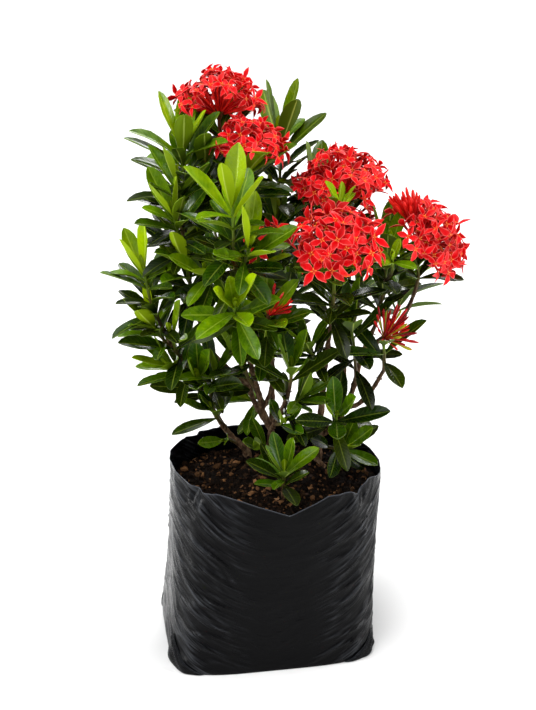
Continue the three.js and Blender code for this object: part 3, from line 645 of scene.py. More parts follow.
bpy.ops.mesh.primitive_cone_add(vertices=6, radius1=1.15 * MM, radius2=0.6 * MM, depth=2.4 * MM)
stump = named("leaf_stump")
for clump_number, (name, branches) in enumerate(CLUMPS.items()):
    rand = random.Random(70 + clump_number)
    parts = []
    for number, (foot_radius, end_radius, route) in enumerate(branches):
        if number == 0:
            x, y, _ = route[0]
            route = [(x, y, STEM_FOOT), (x, y, SOIL_SKIN)] + route[1:]
        line = smooth_route(route, 3)
        walked = distances(line)
        nodes_at = [rand.uniform(4, 10)]
        while nodes_at[-1] < walked[-1] - NODE_GAP:
            nodes_at.append(nodes_at[-1] + NODE_GAP * rand.uniform(0.75, 1.3))
        radii = []
        for point, so_far in zip(line, walked):
            radius = between(foot_radius, end_radius, so_far / walked[-1])
            swollen = max(math.exp(-(((so_far - node_at) / 1.8) ** 2)) for node_at in nodes_at)
            flare = 0.4 * math.exp(-(((point.z - SOIL_SKIN) / 11) ** 2)) if number == 0 else 0
            radii.append(radius * (0.96 + 0.2 * swollen + flare))
        parts.append(tube(line, radii, 10))
        for count, node_at in enumerate(nodes_at):
            i = min(range(len(line)), key=lambda k: abs(walked[k] - node_at))
            direction = (line[min(i + 1, len(line) - 1)] - line[max(i - 1, 0)]).normalized()
            first, second = square_to(direction)
            for side in (0, math.pi):
                around = math.radians(90 * count) + side + rand.uniform(-0.3, 0.3)
                outward = first * math.cos(around) + second * math.sin(around)
                lean = (outward + direction * rand.uniform(0.2, 0.9)).normalized()
                long = rand.uniform(0.5, 0.9) if rand.random() < 0.8 else rand.uniform(1.4, 2.6)
                wide = rand.uniform(0.6, 1.0) * (1 if long < 1 else 0.7)
                place = line[i] + outward * radii[i] * 0.9
                parts.append(copied(stump, standing(place, lean, 0, (wide, wide, long))))
    if name == "stems_right":
        dead_wood = smooth_route(DEAD_WOOD, 3)
        parts.append(tube(dead_wood, [3.0 - 0.1 * i for i in range(len(dead_wood))], 8))
    wood = join("wood_" + name, parts)
    pick(wood)
    for vertex in wood.data.vertices:
        place = Vector((vertex.co.x * 330, vertex.co.y * 330, vertex.co.z * 130))
        fine = Vector((vertex.co.x * 800, vertex.co.y * 800, vertex.co.z * 500))
        vertex.co += vertex.normal * (0.4 * noise.noise(place) + 0.22 * noise.noise(fine)) * MM
    bpy.ops.object.shade_smooth_by_angle(angle=math.radians(60))
    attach(wood, "root")
    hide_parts(name)
bpy.data.objects.remove(stump)

# Thin bark, dry: grey-brown with paler corky patches a few mm long and dark cracks along the stem.
bark, tree, shader = material("thin_dry_bark")
cracks = cloud(tree, coordinates(tree, "Object", (520, 520, 130)), 1.0, 4.0, 0.7)
cork = cloud(tree, coordinates(tree, "Object"), 170.0, 3.0)
brown = ramp(tree, cracks, (0.3, 0x1a110b), (0.48, 0x443021), (0.62, 0x6a523c), (0.75, 0x8e7860))
pale = ranged(tree, cork, 0.5, 0.7, 0.0, 0.5)
surface(tree, shader, blend_colour(tree, pale, brown, 0x7c6a54), 0.86, 0.12)
emboss(tree, shader, cracks, 0.8, 0.5)
for name in CLUMPS:
    bpy.data.objects["wood_" + name].data.materials.append(bark)


# ------------------------------------------------------------------ leafy shoots
# Green twigs grow from the woody stems and carry leathery leaves in crossed pairs. A leaf is longest
# and darkest low on its shoot. The youngest pair at the tip is small, upright and yellow-green.

# The route of each shoot in mm, and for its leaves: turn of the pairs in degrees, pairs skipped at the
# tip and most pairs, factors for how long and how tight they are, spare leaves, and a bronze tint.
SHOOTS = {
    "shoot_front": dict(turn=20, long=0.85, tight=0.55,
        route=[(11, -46.4, 164.6), (11, -51, 175), (11, -56, 190)]),
    "shoot_centre_1": dict(turn=65, long=1.06,
        route=[(-30, -38, 341), (-30, -54, 370), (-31, -64, 393), (-31, -70, 415), (-32, -74, 433)]),
    "shoot_centre_2": dict(turn=15,
        route=[(-27, -24, 316), (-29, -48, 326), (-30, -66, 338), (-30, -78, 349)]),
    "shoot_centre_3": dict(turn=80, long=0.95,
        route=[(-44, 8, 336), (-47, -8, 346), (-52, -22, 355), (-55, -34, 366)]),
    "shoot_centre_4": dict(turn=10, skip=1, long=0.9,
        route=[(0, -15, 281), (-2, -28, 300), (-4, -42, 316), (-3, -54, 330)]),
    "shoot_centre_5": dict(spare=0, turn=10, route=[(16, -34, 259), (17, -41, 271), (17, -48, 284)]),
    "shoot_centre_6": dict(spare=0, turn=30, long=0.8, route=[(3, -2, 211), (8, -14, 216), (11, -24, 224)]),
    "shoot_centre_7": dict(spare=0, turn=0, long=0.75, route=[(0, 12, 178), (-5, 0, 184), (-9, -10, 191)]),
    "shoot_centre_8": dict(spare=0, turn=50, long=0.95,
        route=[(-11, 2, 237), (-19, -3, 254), (-27, -8, 270), (-31, -13, 285)]),
    "shoot_left_1": dict(turn=10, long=1.15,
        route=[(-76, 5, 385), (-76, 4, 405), (-75, 2, 432), (-76, 0, 468)]),
    "shoot_left_2": dict(turn=60, long=0.92, route=[(-75, 7, 372), (-78, -6, 402), (-79, -15, 440)]),
    "shoot_left_3": dict(turn=30, long=0.92, route=[(-73, 9, 352), (-78, -10, 380), (-83, -26, 416)]),
    "shoot_left_4": dict(turn=70, route=[(-69, 15, 319), (-71, 0, 338), (-73, -9, 356), (-74, -15, 372)]),
    "shoot_left_5": dict(turn=35, long=0.92, route=[(-92, -12, 298), (-104, -20, 332), (-110, -24, 366)]),
    "shoot_left_6": dict(spare=0, turn=10, route=[(-77, 0, 268), (-84, -13, 285), (-88, -24, 306)]),
    "shoot_left_7": dict(spare=0, turn=10, route=[(-62, 12, 234), (-64, -2, 246), (-66, -14, 260)]),
    "shoot_left_8": dict(spare=0, turn=40, long=0.9, route=[(-46, 25, 199), (-51, 10, 214), (-55, 0, 226)]),
    "shoot_left_9": dict(spare=0, turn=0, long=0.75, most=1,
        route=[(-32, 35, 175), (-40, 20, 186), (-44, 9, 190)]),
    "shoot_left_10": dict(turn=10, route=[(-38, 38, 400), (-48, 30, 418), (-56, 22, 436), (-61, 16, 455)]),
    "shoot_right_1": dict(spare=0, turn=5,
        route=[(46, 20, 198), (55, 2, 207), (58, -14, 218), (58, -30, 231)]),
    "shoot_right_2": dict(spare=0, turn=40, long=0.85,
        route=[(44, 30, 176), (57, 14, 180), (66, 0, 185), (70, -10, 192)]),
    "shoot_right_3": dict(spare=0, turn=20,
        route=[(78, 16, 250), (76, 3, 270), (73, -8, 293), (69, -18, 315)]),
    "shoot_right_4": dict(turn=0, route=[(93, 5, 304), (99, -2, 342), (101, -12, 380)]),
    "shoot_head_1": dict(turn=30, skip=1, route=[(-40, 36, 446), (-43, 33, 460), (-45, 30, 476)]),
    "shoot_head_2": dict(turn=60, skip=1, route=[(-42, 10, 370), (-34, 9, 405), (-22, 5, 443)]),
    "shoot_head_3": dict(turn=10, skip=1, route=[(71, 30, 350), (68, 28, 380), (64, 25, 408)]),
    "shoot_head_4": dict(turn=25, skip=1, route=[(51, -30, 313), (52, -46, 342), (53, -56, 376)]),
    "shoot_head_5": dict(turn=60, skip=1, long=0.85,
        route=[(127, 2, 336), (129, -3, 354), (123, -8, 373)]),
    "shoot_head_6": dict(turn=30, skip=1, long=0.9,
        route=[(1, -10, 272), (-3, -14, 306), (-9, -18, 340), (-12, -20, 369)]),
    "shoot_head_7": dict(turn=0, skip=1, route=[(70, 30, 326), (66, 56, 342), (62, 80, 362)]),
    "shoot_buds_2": dict(spare=0, turn=20, skip=1, route=[(101, -8, 266), (100, -17, 282), (98, -25, 299)]),
    "shoot_back_1": dict(bronze=1.6, turn=15, long=1.12, route=[(6, 66, 376), (8, 69, 415), (7, 72, 464)]),
    "shoot_back_2": dict(turn=40, route=[(3, 58, 296), (-2, 48, 332), (2, 42, 368), (5, 40, 398)]),
    "shoot_back_3": dict(turn=0, route=[(5, 62, 332), (22, 66, 358), (36, 65, 390), (40, 62, 419)]),
    "shoot_back_4": dict(turn=60, long=0.85, route=[(1, 52, 210), (-12, 44, 213), (-22, 38, 220)]),
    "shoot_back_5": dict(turn=30, most=4, route=[(-36, 40, 346), (-50, 60, 370), (-58, 76, 395)]),
    "shoot_back_6": dict(turn=10, most=4, route=[(2, 56, 268), (12, 82, 290), (18, 98, 318)]),
    "shoot_back_7": dict(turn=50, most=4, route=[(4, 60, 311), (-8, 84, 340), (-14, 100, 372)]),
    "shoot_back_8": dict(turn=70, most=4, route=[(68, 28, 272), (80, 55, 300), (86, 75, 330)]),
    "shoot_back_9": dict(turn=20, most=4, route=[(103, 10, 293), (116, 34, 312), (122, 52, 335)]),
}
SIDE_TWIGS = {                                # a second twig that forks off a shoot
    "shoot_centre_1": dict(turn=20, route=[(-30, -52, 366), (-22, -68, 384), (-17, -77, 400)]),
    "shoot_right_4": dict(turn=60, most=0, long=1.3, route=[(99, -2, 345), (103, -28, 364), (101, -46, 379)]),
    "shoot_head_4": dict(turn=150, most=0, long=1.2, route=[(52, -44, 340), (57, -34, 382), (58, -27, 422)]),
}
INNER_TWIGS = {                               # short twigs inside the crown, on the old wood
    "shoot_centre_5": [(6, -10, 222), (17, -20, 234), (28, -28, 250)],
    "shoot_centre_8": [(-17, -3, 262), (-10, -17, 278), (-4, -28, 296)],
    "shoot_left_5": [(-84, -6, 282), (-96, -12, 297), (-106, -16, 316)],
    "shoot_left_6": [(-70, 6, 251), (-80, -6, 262), (-92, -14, 274)],
    "shoot_left_7": [(-58, 15, 225), (-54, 0, 245), (-50, -12, 268)],
    "shoot_right_3": [(48, -8, 268), (38, -20, 282), (30, -30, 300)],
}
LEAF_LENGTH = 48                              # in mm; the five rows below go from the tip pair down
PAIR_SPACING = [4, 11, 21, 33, 47, 63, 81]
PAIR_PITCH = [27, 38, 50, 60, 70, 78, 84]
PAIR_CURL = [-0.3, -0.1, 0.15, 0.35, 0.5, 0.6, 0.6]
PAIR_SIZE = [1, 1.1, 1.05, 1, 0.95, 0.9, 0.85]
PAIR_AGE = [0.2, 0.38, 0.58, 0.76, 0.9, 1.0, 1.0]
YOUNG_PAIRS = [(0.2, 16, -0.3), (0.6, 22, 0.0), (1.0, 25, 0.2)]     # pitch, length and curl at the tip
ROOT_ROOM = 7                                 # no leaf nearer to the start of its twig
TIP_FOUND = 0.1                               # a leaf's tip is a point of the node within this distance
LIGHT, FACE_LIGHT = Vector((0, -0.5, 0.87)), 0.8
LEAF_NUDGES = [                               # degrees around the twig and of pitch, and shrinking
    (0, 0, 1), (14, 0, 1), (-14, 0, 1), (0, -12, 1), (0, 10, 0.96), (26, -6, 0.94), (-26, -6, 0.94),
    (38, -10, 0.88), (-38, -10, 0.88), (0, -20, 0.8), (22, 12, 0.76), (-22, 12, 0.76), (48, -14, 0.7),
    (-48, -14, 0.7),
]
LEAF_ROWS = [                                 # place along the leaf, half its width there by its length
    (0, 0.016), (0.07, 0.022), (0.18, 0.06), (0.33, 0.108), (0.5, 0.143), (0.67, 0.154),
    (0.83, 0.13), (0.94, 0.076), (1, 0.014),
]
# The negative values make the leaves of the low shoots older and darker: painted shade in the lower crown.
YOUTH_AND_LOW_SHADE = dict(                                 # how much younger the leaves of a shoot are; negative on the low shoots
    shoot_centre_1=0.28, shoot_centre_2=0.25, shoot_centre_3=0.15, shoot_left_5=0.22, shoot_left_4=0.2,
    shoot_left_1=0.14, shoot_left_3=0.1, shoot_left_6=0.05, shoot_front=-0.2, shoot_left_7=-0.12,
    shoot_left_8=-0.12, shoot_left_9=-0.12, shoot_centre_5=-0.15, shoot_centre_6=-0.15, shoot_centre_7=-0.15,
    shoot_centre_8=-0.1, shoot_right_1=-0.15, shoot_right_2=-0.15, shoot_right_3=-0.1,
)


def draw(a, b):
    """An even spread of numbers from 0 to 1, the same for the same two whole numbers."""
    wave = math.sin(a * 12.9898 + b * 78.233) * 43758.5453
    return wave - math.floor(wave)


def jitter(a, b, size):
    """A seeded number between -size and size."""
    return (2 * draw(a, b) - 1) * size


def back_from_end(route, distance):
    """The place and direction on a route, measured back from its end."""
    for a, b in reversed(list(zip(route, route[1:]))):
        step = b - a
        if distance <= step.length or a is route[0]:
            return b - step.normalized() * distance, step.normalized()
        distance -= step.length


def direction_at_end(route):
    """The direction of the last stretch of a route."""
    return (Vector(route[-1]) - Vector(route[-2])).normalized()


def leaf_axes(axis, around, pitch):
    """The directions along a leaf, out of its face and across it. Its face turns to the light."""
    first, second = square_to(axis)
    outward = first * math.cos(around) + second * math.sin(around)
    along = axis * math.cos(pitch) + outward * math.sin(pitch)
    light = LIGHT - along * along.dot(LIGHT)
    inward = axis * math.sin(pitch) - outward * math.cos(pitch)
    face = (inward + light * FACE_LIGHT).normalized()
    return along, face, face.cross(along)


def leaf_spot(root, along, face, curl, length, share):
    """The middle of the leaf at a share of its length: it bends back in an arc."""
    bent = along * math.cos(curl * share / 2) - face * math.sin(curl * share / 2)
    return root + bent * length * share


def blade_map(tree):
    """How far along a leaf or lobe a point lies, and how far off its midline, up to 0.5."""
    parts = tree.nodes.new("ShaderNodeSeparateXYZ")
    tree.links.new(coordinates(tree, "UV"), parts.inputs[0])
    return parts.outputs[0], maths(tree, "ABSOLUTE", maths(tree, "SUBTRACT", parts.outputs[1], 0.5))


# Upper side of a leathery leaf: from yellow-green when young to a deep waxy green, with a pale
# midrib, faint slanting side veins about 4 mm apart and a thin pale edge. All three fade with age,
# and the wax shines in patches.
blade, tree, shader = material("waxy_leaf_upper_side")
along, side = blade_map(tree)
place, age = coordinates(tree, "Object"), attribute(tree, "age")
youth = maths(tree, "MULTIPLY_ADD", age, -0.75, 1.1)
rib = ranged(tree, side, 0.015, 0.05, 0.75, 0.0)
wave = maths(tree, "SINE", maths(tree, "MULTIPLY", maths(tree, "MULTIPLY_ADD", side, -0.34, along), 75))
veins = ranged(tree, wave, 0.7, 1.0, 0.0, 0.15)
edge = maths(tree, "MULTIPLY", ranged(tree, side, 0.465, 0.498, 0.0, 0.5), youth)
mottle = cloud(tree, place, 160.0, 3.0)
shift = maths(tree, "MULTIPLY_ADD", maths(tree, "SUBTRACT", mottle, 0.5), 0.42, age)
green = ramp(tree, shift, (0.0, 0x8ea800), (0.2, 0x608400), (0.42, 0x2c5200), (0.68, 0x0e2600),
             (1.0, 0x041000))
warm = blend_colour(tree, maths(tree, "MULTIPLY", attribute(tree, "tint"), 0.22), green, 0x4a5400)
showing = maths(tree, "MULTIPLY", maths(tree, "MAXIMUM", rib, veins), youth)
veined = blend_colour(tree, showing, warm, blend_colour(tree, 0.5, warm, 0xbcd048))
wax = ranged(tree, cloud(tree, place, 70.0, 2.0), 0.35, 0.65, 0.14, 0.36)
surface(tree, shader, blend_colour(tree, edge, veined, 0x7c9414), wax, 0.2)
quilt = maths(tree, "MULTIPLY_ADD", mottle, 0.5, maths(tree, "MULTIPLY", maths(tree, "ADD", rib, veins), -1))
emboss(tree, shader, quilt, 0.5, 0.35)

# Under side: paler, duller and without wax, so that turned leaves read as olive beside the glossy ones.
under, tree, shader = material("dull_leaf_under_side")
along, side = blade_map(tree)
rib = ranged(tree, side, 0.02, 0.06, 0.7, 0.0)
olive = ramp(tree, attribute(tree, "age"), (0.0, 0x7e9600), (0.4, 0x425804), (1.0, 0x182806))
ribbed = blend_colour(tree, rib, olive, blend_colour(tree, 0.5, olive, 0xc8d868))
surface(tree, shader, ribbed, 0.6, 0.1)

# Green twig: olive green at the tip, turning brown and corky towards the old wood.
twig, tree, shader = material("green_twig_skin")
mottle = maths(tree, "SUBTRACT", cloud(tree, coordinates(tree, "Object"), 300.0, 3.0), 0.5)
shift = maths(tree, "MULTIPLY_ADD", mottle, 0.5, attribute(tree, "age"))
brown = ramp(tree, shift, (0.1, 0x5f7a1c), (0.45, 0x4e4a22), (0.9, 0x43301f))
surface(tree, shader, brown, 0.55, 0.15)


def row_of(rows, y):
    """The row of a blade's table for a y from -1, at its root, to 1."""
    return rows[round((y + 1) / 2 * (len(rows) - 1))]


def flat_blade(rows, columns, length):
    """A flat grid for a leaf or lobe, with a UV map that runs along it and across it."""
    bpy.ops.mesh.primitive_grid_add(x_subdivisions=columns, y_subdivisions=len(rows) - 1, size=2,
                                    calc_uvs=True)
    grid = bpy.context.object
    for loop in grid.data.loops:
        x, y, _ = grid.data.vertices[loop.vertex_index].co
        grid.data.uv_layers.active.data[loop.index].uv = (row_of(rows, y)[0] / length, (x + 1) / 2)
    return grid


leaf = flat_blade(LEAF_ROWS, 4, 1)
leaf.data.materials.append(blade)
leaf.data.materials.append(under)
apply(leaf, "SOLIDIFY", thickness=0.02, offset=-1, material_offset=1)
leaf_places = [tuple(vertex.co) for vertex in leaf.data.vertices]


def lay_leaf(root, shift, axes, length, curl, age, rand, bronze=0):
    """Bends a copy of the flat template to one leaf. Its root, in mm, is moved by the shift to its twig."""
    along, face, across = axes
    width = rand.uniform(0.84, 1.02) + 0.1 * (1 - age)
    fold = rand.uniform(0.15, 0.42) + 0.2 * (1 - age)
    ripple, phase = rand.uniform(0.2, 0.9), rand.uniform(0, math.tau)
    twist = rand.uniform(-0.3, 0.3)
    copy = copied(leaf)
    for vertex, (x, y, z) in zip(copy.data.vertices, leaf_places):
        share, half = row_of(LEAF_ROWS, y)
        up = face * math.cos(curl * share) + along * math.sin(curl * share)
        turned = across * math.cos(twist * share) + up * math.sin(twist * share)
        up = up * math.cos(twist * share) - across * math.sin(twist * share)
        reach = x * half * width * length
        height = fold * abs(reach) + ripple * x * x * math.sin(8 * share + phase + (x > 0)) * half * 6
        if z < -0.01:
            height -= between(1.1, 0.4, share / 0.2) + (0.45 * (1 - share) if x == 0 else 0)
        spot = leaf_spot(root, along, face, curl, length, share)
        vertex.co = (spot + shift * (1 - share) ** 2 + turned * reach + up * height) * MM
    fill_attribute(copy, "age", min(max(age + rand.uniform(-0.08, 0.08), 0), 1))
    fill_attribute(copy, "tint", rand.random() + bronze)
    return copy


def leafy_twig(name, number, cad_points, route, turn, skip=0, long=1, tight=1, most=7, tip=True, spare=2,
               bronze=0):
    """One twig: its stem, its leaves where the CAD node has them, and spare ones in between.

    Each leaf takes the first nudge that puts its tip on a point of the node, and is left out if none
    does. Without those points, no leaf is nudged.
    """
    rand = random.Random(900 + number)
    route = [Vector(point) for point in route]
    line = smooth_route(route, 4)
    walked = distances(line)
    pairs_at = [tight * (spacing - PAIR_SPACING[skip]) + PAIR_SPACING[0] for spacing in PAIR_SPACING]
    radii = []
    for so_far in walked:
        swollen = max(math.exp(-(((walked[-1] - so_far - at) / 2) ** 2)) for at in pairs_at[skip:])
        radii.append(between(1.8, 1.15, so_far / walked[-1]) * (1 + 0.25 * swollen))
    stem = tube(line, radii, 6)
    stem.data.materials.append(twig)
    for value, vertex in zip(point_values(stem, "age"), stem.data.vertices):
        to_foot, to_tip = [(vertex.co / MM - end).length for end in (line[0], line[-1])]
        value.value = to_tip / (to_foot + to_tip)
    parts = [stem]
    room = distances(route)[-1] - ROOT_ROOM
    for pair in range(skip, min(skip + most, len(PAIR_SIZE))):
        if pairs_at[pair] > room:
            break
        point, direction = back_from_end(route, pairs_at[pair])
        nearest = min(line, key=lambda place: (place - point).length)
        for half in (0, 1):
            key = 10 * pair + half
            around = turn + 90 * pair + 180 * half + jitter(number, key, 12)
            pitch = PAIR_PITCH[pair] + jitter(number, key + 100, 7)
            length = LEAF_LENGTH * long * PAIR_SIZE[pair] * (1 + jitter(number, key + 200, 0.08))
            for swing, lift, shrink in LEAF_NUDGES:
                axes = leaf_axes(direction, math.radians(around + swing), math.radians(pitch + lift))
                end = leaf_spot(point, axes[0], axes[1], PAIR_CURL[pair], length * shrink, 1)
                if cad_points is None or cad_points.find(end)[2] < TIP_FOUND:
                    # a negative shift makes a low shoot's leaves darker, as painted shade
                    age = PAIR_AGE[pair] - YOUTH_AND_LOW_SHADE.get(name, 0)
                    parts.append(lay_leaf(point, (nearest - point) * 0.9, axes, length * shrink,
                                          PAIR_CURL[pair], age, rand, bronze))
                    break
            for _ in range(min(pair, 1 + (pair > 3), spare)):
                around = math.radians(turn + 90 * pair + 180 * half + 90 + rand.uniform(-40, 40))
                axes = leaf_axes(direction, around, math.radians(rand.uniform(35, 70)))
                parts.append(lay_leaf(point, (nearest - point) * 0.9, axes, length * rand.uniform(0.62, 0.95),
                                      0.3, PAIR_AGE[pair] - rand.uniform(0, 0.2), rand))
    if tip:
        onward = direction_at_end(route)
        for pair, (pitch, length, curl) in enumerate(YOUNG_PAIRS if most == 0 else YOUNG_PAIRS[:1]):
            for half in (0, 1):
                axes = leaf_axes(onward, math.radians(turn - 90 - 90 * pair + 180 * half), pitch)
                parts.append(lay_leaf(route[-1] - onward * (1.5 + 1.5 * pair), Vector(), axes,
                                      length * rand.uniform(0.8, 1.2) * long, curl, 0.02 + 0.1 * pair, rand))
    return parts


flowering = [name for name in SHOOTS if name.startswith("shoot_head")] + ["shoot_buds_2", "shoot_centre_4"]
shoot_pieces = []
for number, (name, shoot) in enumerate(SHOOTS.items(), start=1):
    cad_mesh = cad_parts[name].data
    cad_points = KDTree(len(cad_mesh.vertices))
    for vertex in cad_mesh.vertices:
        cad_points.insert(vertex.co / MM, vertex.index)
    cad_points.balance()
    parts = leafy_twig(name, number, cad_points, tip=name not in flowering, **shoot)
    if name in SIDE_TWIGS:
        parts += leafy_twig(name, number + 50, cad_points, **SIDE_TWIGS[name])
    if name in INNER_TWIGS:
        parts += leafy_twig(name, number + 100, None, INNER_TWIGS[name], turn=20, long=0.8, tight=0.8)
    shoot_piece = join("leafy_" + name, parts)
    bpy.ops.object.shade_smooth_by_angle(angle=math.radians(50))
    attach(shoot_piece, "root")
    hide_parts(name)
    shoot_pieces.append(shoot_piece)
bpy.data.objects.remove(leaf)


# ------------------------------------------------------------------ flower heads
# Each head is a dome of four-lobed florets on slender tubes. All tubes start within a few mm of each
# other, on short forked stalks, so the florets crowd edge to edge on the dome with gaps below.

# For each head: its shoot and axis, reach and size of the dome in mm and degrees, the florets, the
# direction of a bare side and how wide that is, and of a bunch of florets that are still closed.
HEADS = {
    "flower_head_1": dict(on="shoot_head_1", axis=(0, 0.22, 1), reach=36, spread=80, florets=86,
        size=0.76, tint=0.68, bare=(0, -1, 0.02), bare_to=50),
    "flower_head_2": dict(on="shoot_head_2", axis=(0.1, -0.1, 1), reach=32, spread=76, florets=46,
        size=0.79, tint=0.66, bare=(-0.2, -1, -0.1), bare_to=34),
    "flower_head_3": dict(on="shoot_head_3", axis=(-0.1, -0.1, 1), reach=38, spread=84, florets=88,
        size=0.79, tint=0.74, bare=(0, -1, 0.25), bare_to=22),
    "flower_head_4": dict(on="shoot_head_4", axis=(0.02, -0.42, 0.95), reach=36.5, spread=80, florets=50,
        size=0.98, tint=0.68, bare=(1, 0.2, 0), bare_to=32),
    "flower_head_5": dict(on="shoot_head_5", axis=(0.72, -0.25, 0.8), reach=36, spread=82, florets=76,
        size=0.84, tint=0.7, bare=(-0.9, -0.4, 0.1), bare_to=42, closed=(-0.34, -0.2, 1)),
    "flower_head_6": dict(on="shoot_head_6", axis=(0.2, -0.3, 1), reach=26, spread=64, florets=10,
        size=0.95, tint=0.5),
    "flower_head_7": dict(on="shoot_head_7", axis=(0.05, 0.45, 1), reach=34, spread=74, florets=26,
        size=0.9, tint=0.4),
}
CLOSED_FLORETS, CLOSED_TO = 24, 0.42          # how many, and within what angle of their middle
CLOSED_STEP, CLOSED_START = 0.09, 16          # how fast they spread, and how far out they start
STALKS = 11
FLORET_LAYERS = [0, 2.4, -6.0, 0.8, -3.2]     # how far in front of the dome each fifth floret stands
FLORET_NUDGES = [(0, 0, 1), (9, 0, 1), (-9, 0, 1), (0, -7, 0.96), (0, 6, 0.96), (5, 0, 0.86)]
FLORET_ROOM = 8                               # no leaf under the lobes, this far from their middle
GOLDEN_ANGLE = math.radians(137.508)
TUBE_START, TUBE_LENGTH = 6, 30               # tubes begin this far from the middle of the head
BUD_START, BUD_LENGTH = 2, 31
RIPEST = 0.84                                 # tubes with a higher tint would be yellow-green
LOBE_LENGTH = 12.8                            # what its radii are divided by for the UV map
LOBE_ROWS = [                                 # radius, half width and height of a lobe, in mm
    (0.8, 0.9, -0.9), (3.2, 2.3, 0.1), (6.2, 3.3, 0.5), (9.7, 2.2, 0.2), (13.0, 0.15, -0.6),
]

# Petal: thin, velvety scarlet, paler coral along its edges and at its tip, partly painted highlight,
# with painted shade along its middle crease.
# The throat of the floret glows orange.
petal, tree, shader = material("scarlet_coral_petal")
along, side = blade_map(tree)
red = ramp(tree, attribute(tree, "tint"), (0.0, 0x5c0002), (0.35, 0xac0004), (0.7, 0xdc0412),
           (1.0, 0xf42e2c))
# paler coral edges, partly the petal's own colour and partly painted highlight
lit_edges = blend_colour(tree, ranged(tree, side, 0.36, 0.5, 0.0, 0.5), red, 0xff7e78)
# paler tip, partly painted highlight
lit_tip = blend_colour(tree, ranged(tree, along, 0.45, 1.0, 0.0, 0.16), lit_edges, 0xf04c48)
# painted shade along the middle crease of the lobe
crease_shaded = blend_colour(tree, ranged(tree, side, 0.0, 0.1, 0.2, 0.0), lit_tip, 0x740008)
glowing = blend_colour(tree, ranged(tree, along, 0.05, 0.17, 0.8, 0.0), crease_shaded, 0xf06a1e)
surface(tree, shader, glowing, 0.38, 0.05)

# Corolla tube and bud: smooth and waxy, from dark red to coral, and yellow-green where unripe.
corolla, tree, shader = material("waxy_dark_red_corolla")
waxy = ramp(tree, attribute(tree, "tint"), (0.0, 0x780004), (0.5, 0xb8060c), (0.85, 0xe6281c),
            (0.9, 0xb8a820), (1.0, 0x8f9c1c))
surface(tree, shader, waxy, 0.42, 0.2)

# Pollen on the anthers: matt orange-yellow grains.
pollen, tree, shader = material("yellow_pollen")
surface(tree, shader, 0xe8862a, 0.8, 0.5)

# Flower stalk: soft green wood with a reddish skin, slightly glossy.
stalk, tree, shader = material("reddish_green_stalk")
surface(tree, shader, 0x5a3418, 0.55, 0.15)

lobes = []
for quarter in range(4):
    lobe = flat_blade(LOBE_ROWS, 2, LOBE_LENGTH)
    for vertex in lobe.data.vertices:
        radius, half, height = row_of(LOBE_ROWS, vertex.co.y)
        vertex.co = Vector((vertex.co.x * half, radius, height + 0.34 * half * abs(vertex.co.x))) * MM
    lobe.data.transform(Matrix.Rotation(quarter * math.pi / 2, 4, "Z"))
    lobe.data.materials.append(petal)
    lobes.append(lobe)
star = join("petal_star", lobes)
apply(star, "SOLIDIFY", thickness=0.3 * MM, offset=0)
throat_parts = [star]
for quarter in range(4):
    bpy.ops.mesh.primitive_cone_add(vertices=3, radius1=0.4 * MM, radius2=0.2 * MM, depth=2.0 * MM)
    anther = bpy.context.object
    seat = Matrix.Translation((1.7 * MM, 0, 0.9 * MM)) @ Matrix.Rotation(math.radians(78), 4, "Y")
    anther.data.transform(Matrix.Rotation(math.radians(90 * quarter + 45), 4, "Z") @ seat)
    anther.data.materials.append(pollen)
    throat_parts.append(anther)
bow = tube([(0, 0, -30), (0.9, 0, -20), (0.9, 0, -10), (0, 0, -0.4)], [0.75, 0.75, 0.85, 1.4], 6)
bow.data.materials.append(corolla)
floret = join("floret_template", throat_parts + [bow])
bud = tube([(0, 0, z) for z in (0, 10, 18, 23, 26.5, 29.5, BUD_LENGTH)],
           [0.55, 0.65, 0.9, 1.4, 1.55, 1.1, 0.25], 6)
bud.data.materials.append(corolla)

all_points, all_faces = [], []
for piece in shoot_pieces:
    first = len(all_points)
    all_points += [vertex.co.copy() for vertex in piece.data.vertices]
    all_faces += [[first + i for i in polygon.vertices] for polygon in piece.data.polygons]
foliage = BVHTree.FromPolygons(all_points, all_faces)


def dome_direction(axis, around, off):
    """A direction on a dome about the axis, by its angle around it and off it."""
    first, second = square_to(axis)
    outward = first * math.cos(around) + second * math.sin(around)
    return axis * math.cos(off) + outward * math.sin(off)


def is_free(place, room):
    """Whether no leaf is within that many mm of a place."""
    return foliage.find_nearest(place * MM, room * MM)[0] is None


def lay_floret(core, direction, reach, rand, tint, size):
    """One floret: its tube reaches from near the middle of the head, its star tilts a little."""
    copy = copied(floret)
    stretch = (reach - TUBE_START) / TUBE_LENGTH
    tilt = Matrix.Rotation(rand.gauss(0, 0.45), 3, "X") @ Matrix.Rotation(rand.gauss(0, 0.45), 3, "Y")
    reflex = rand.uniform(-0.5, 0.4)
    size *= rand.uniform(0.88, 1.12)
    for vertex in copy.data.vertices:
        if vertex.co.z > -1.5 * MM:
            vertex.co.z += reflex * (vertex.co.x**2 + vertex.co.y**2) / (10 * MM)
            vertex.co = tilt @ vertex.co * size
        else:
            vertex.co.z *= stretch
    copy.data.transform(standing(core + direction * reach, direction, rand.uniform(0, math.tau), (1, 1, 1)))
    fill_attribute(copy, "tint", min(max(tint + rand.uniform(-0.38, 0.3), 0), RIPEST))
    return copy


def lay_bud(core, direction, length, rand, tint, thick=1):
    """One closed floret or bud, a spike that is thickest near its tip."""
    thick *= rand.uniform(0.8, 1.15)
    scale = (thick, thick, (length - BUD_START) / BUD_LENGTH)
    copy = copied(bud, standing(core + direction * BUD_START, direction, rand.uniform(0, math.tau), scale))
    fill_attribute(copy, "tint", tint)
    return copy


def head_base(shoot, axis, rise):
    """A head on its shoot: the shoot's end, the bend above it, the head's middle and where it faces."""
    route = [Vector(point) for point in SHOOTS[shoot]["route"]]
    direction, facing = direction_at_end(route), Vector(axis).normalized()
    bend = route[-1] + direction * 3.3
    return route[-1] - direction * 2, bend, bend + facing * rise, facing


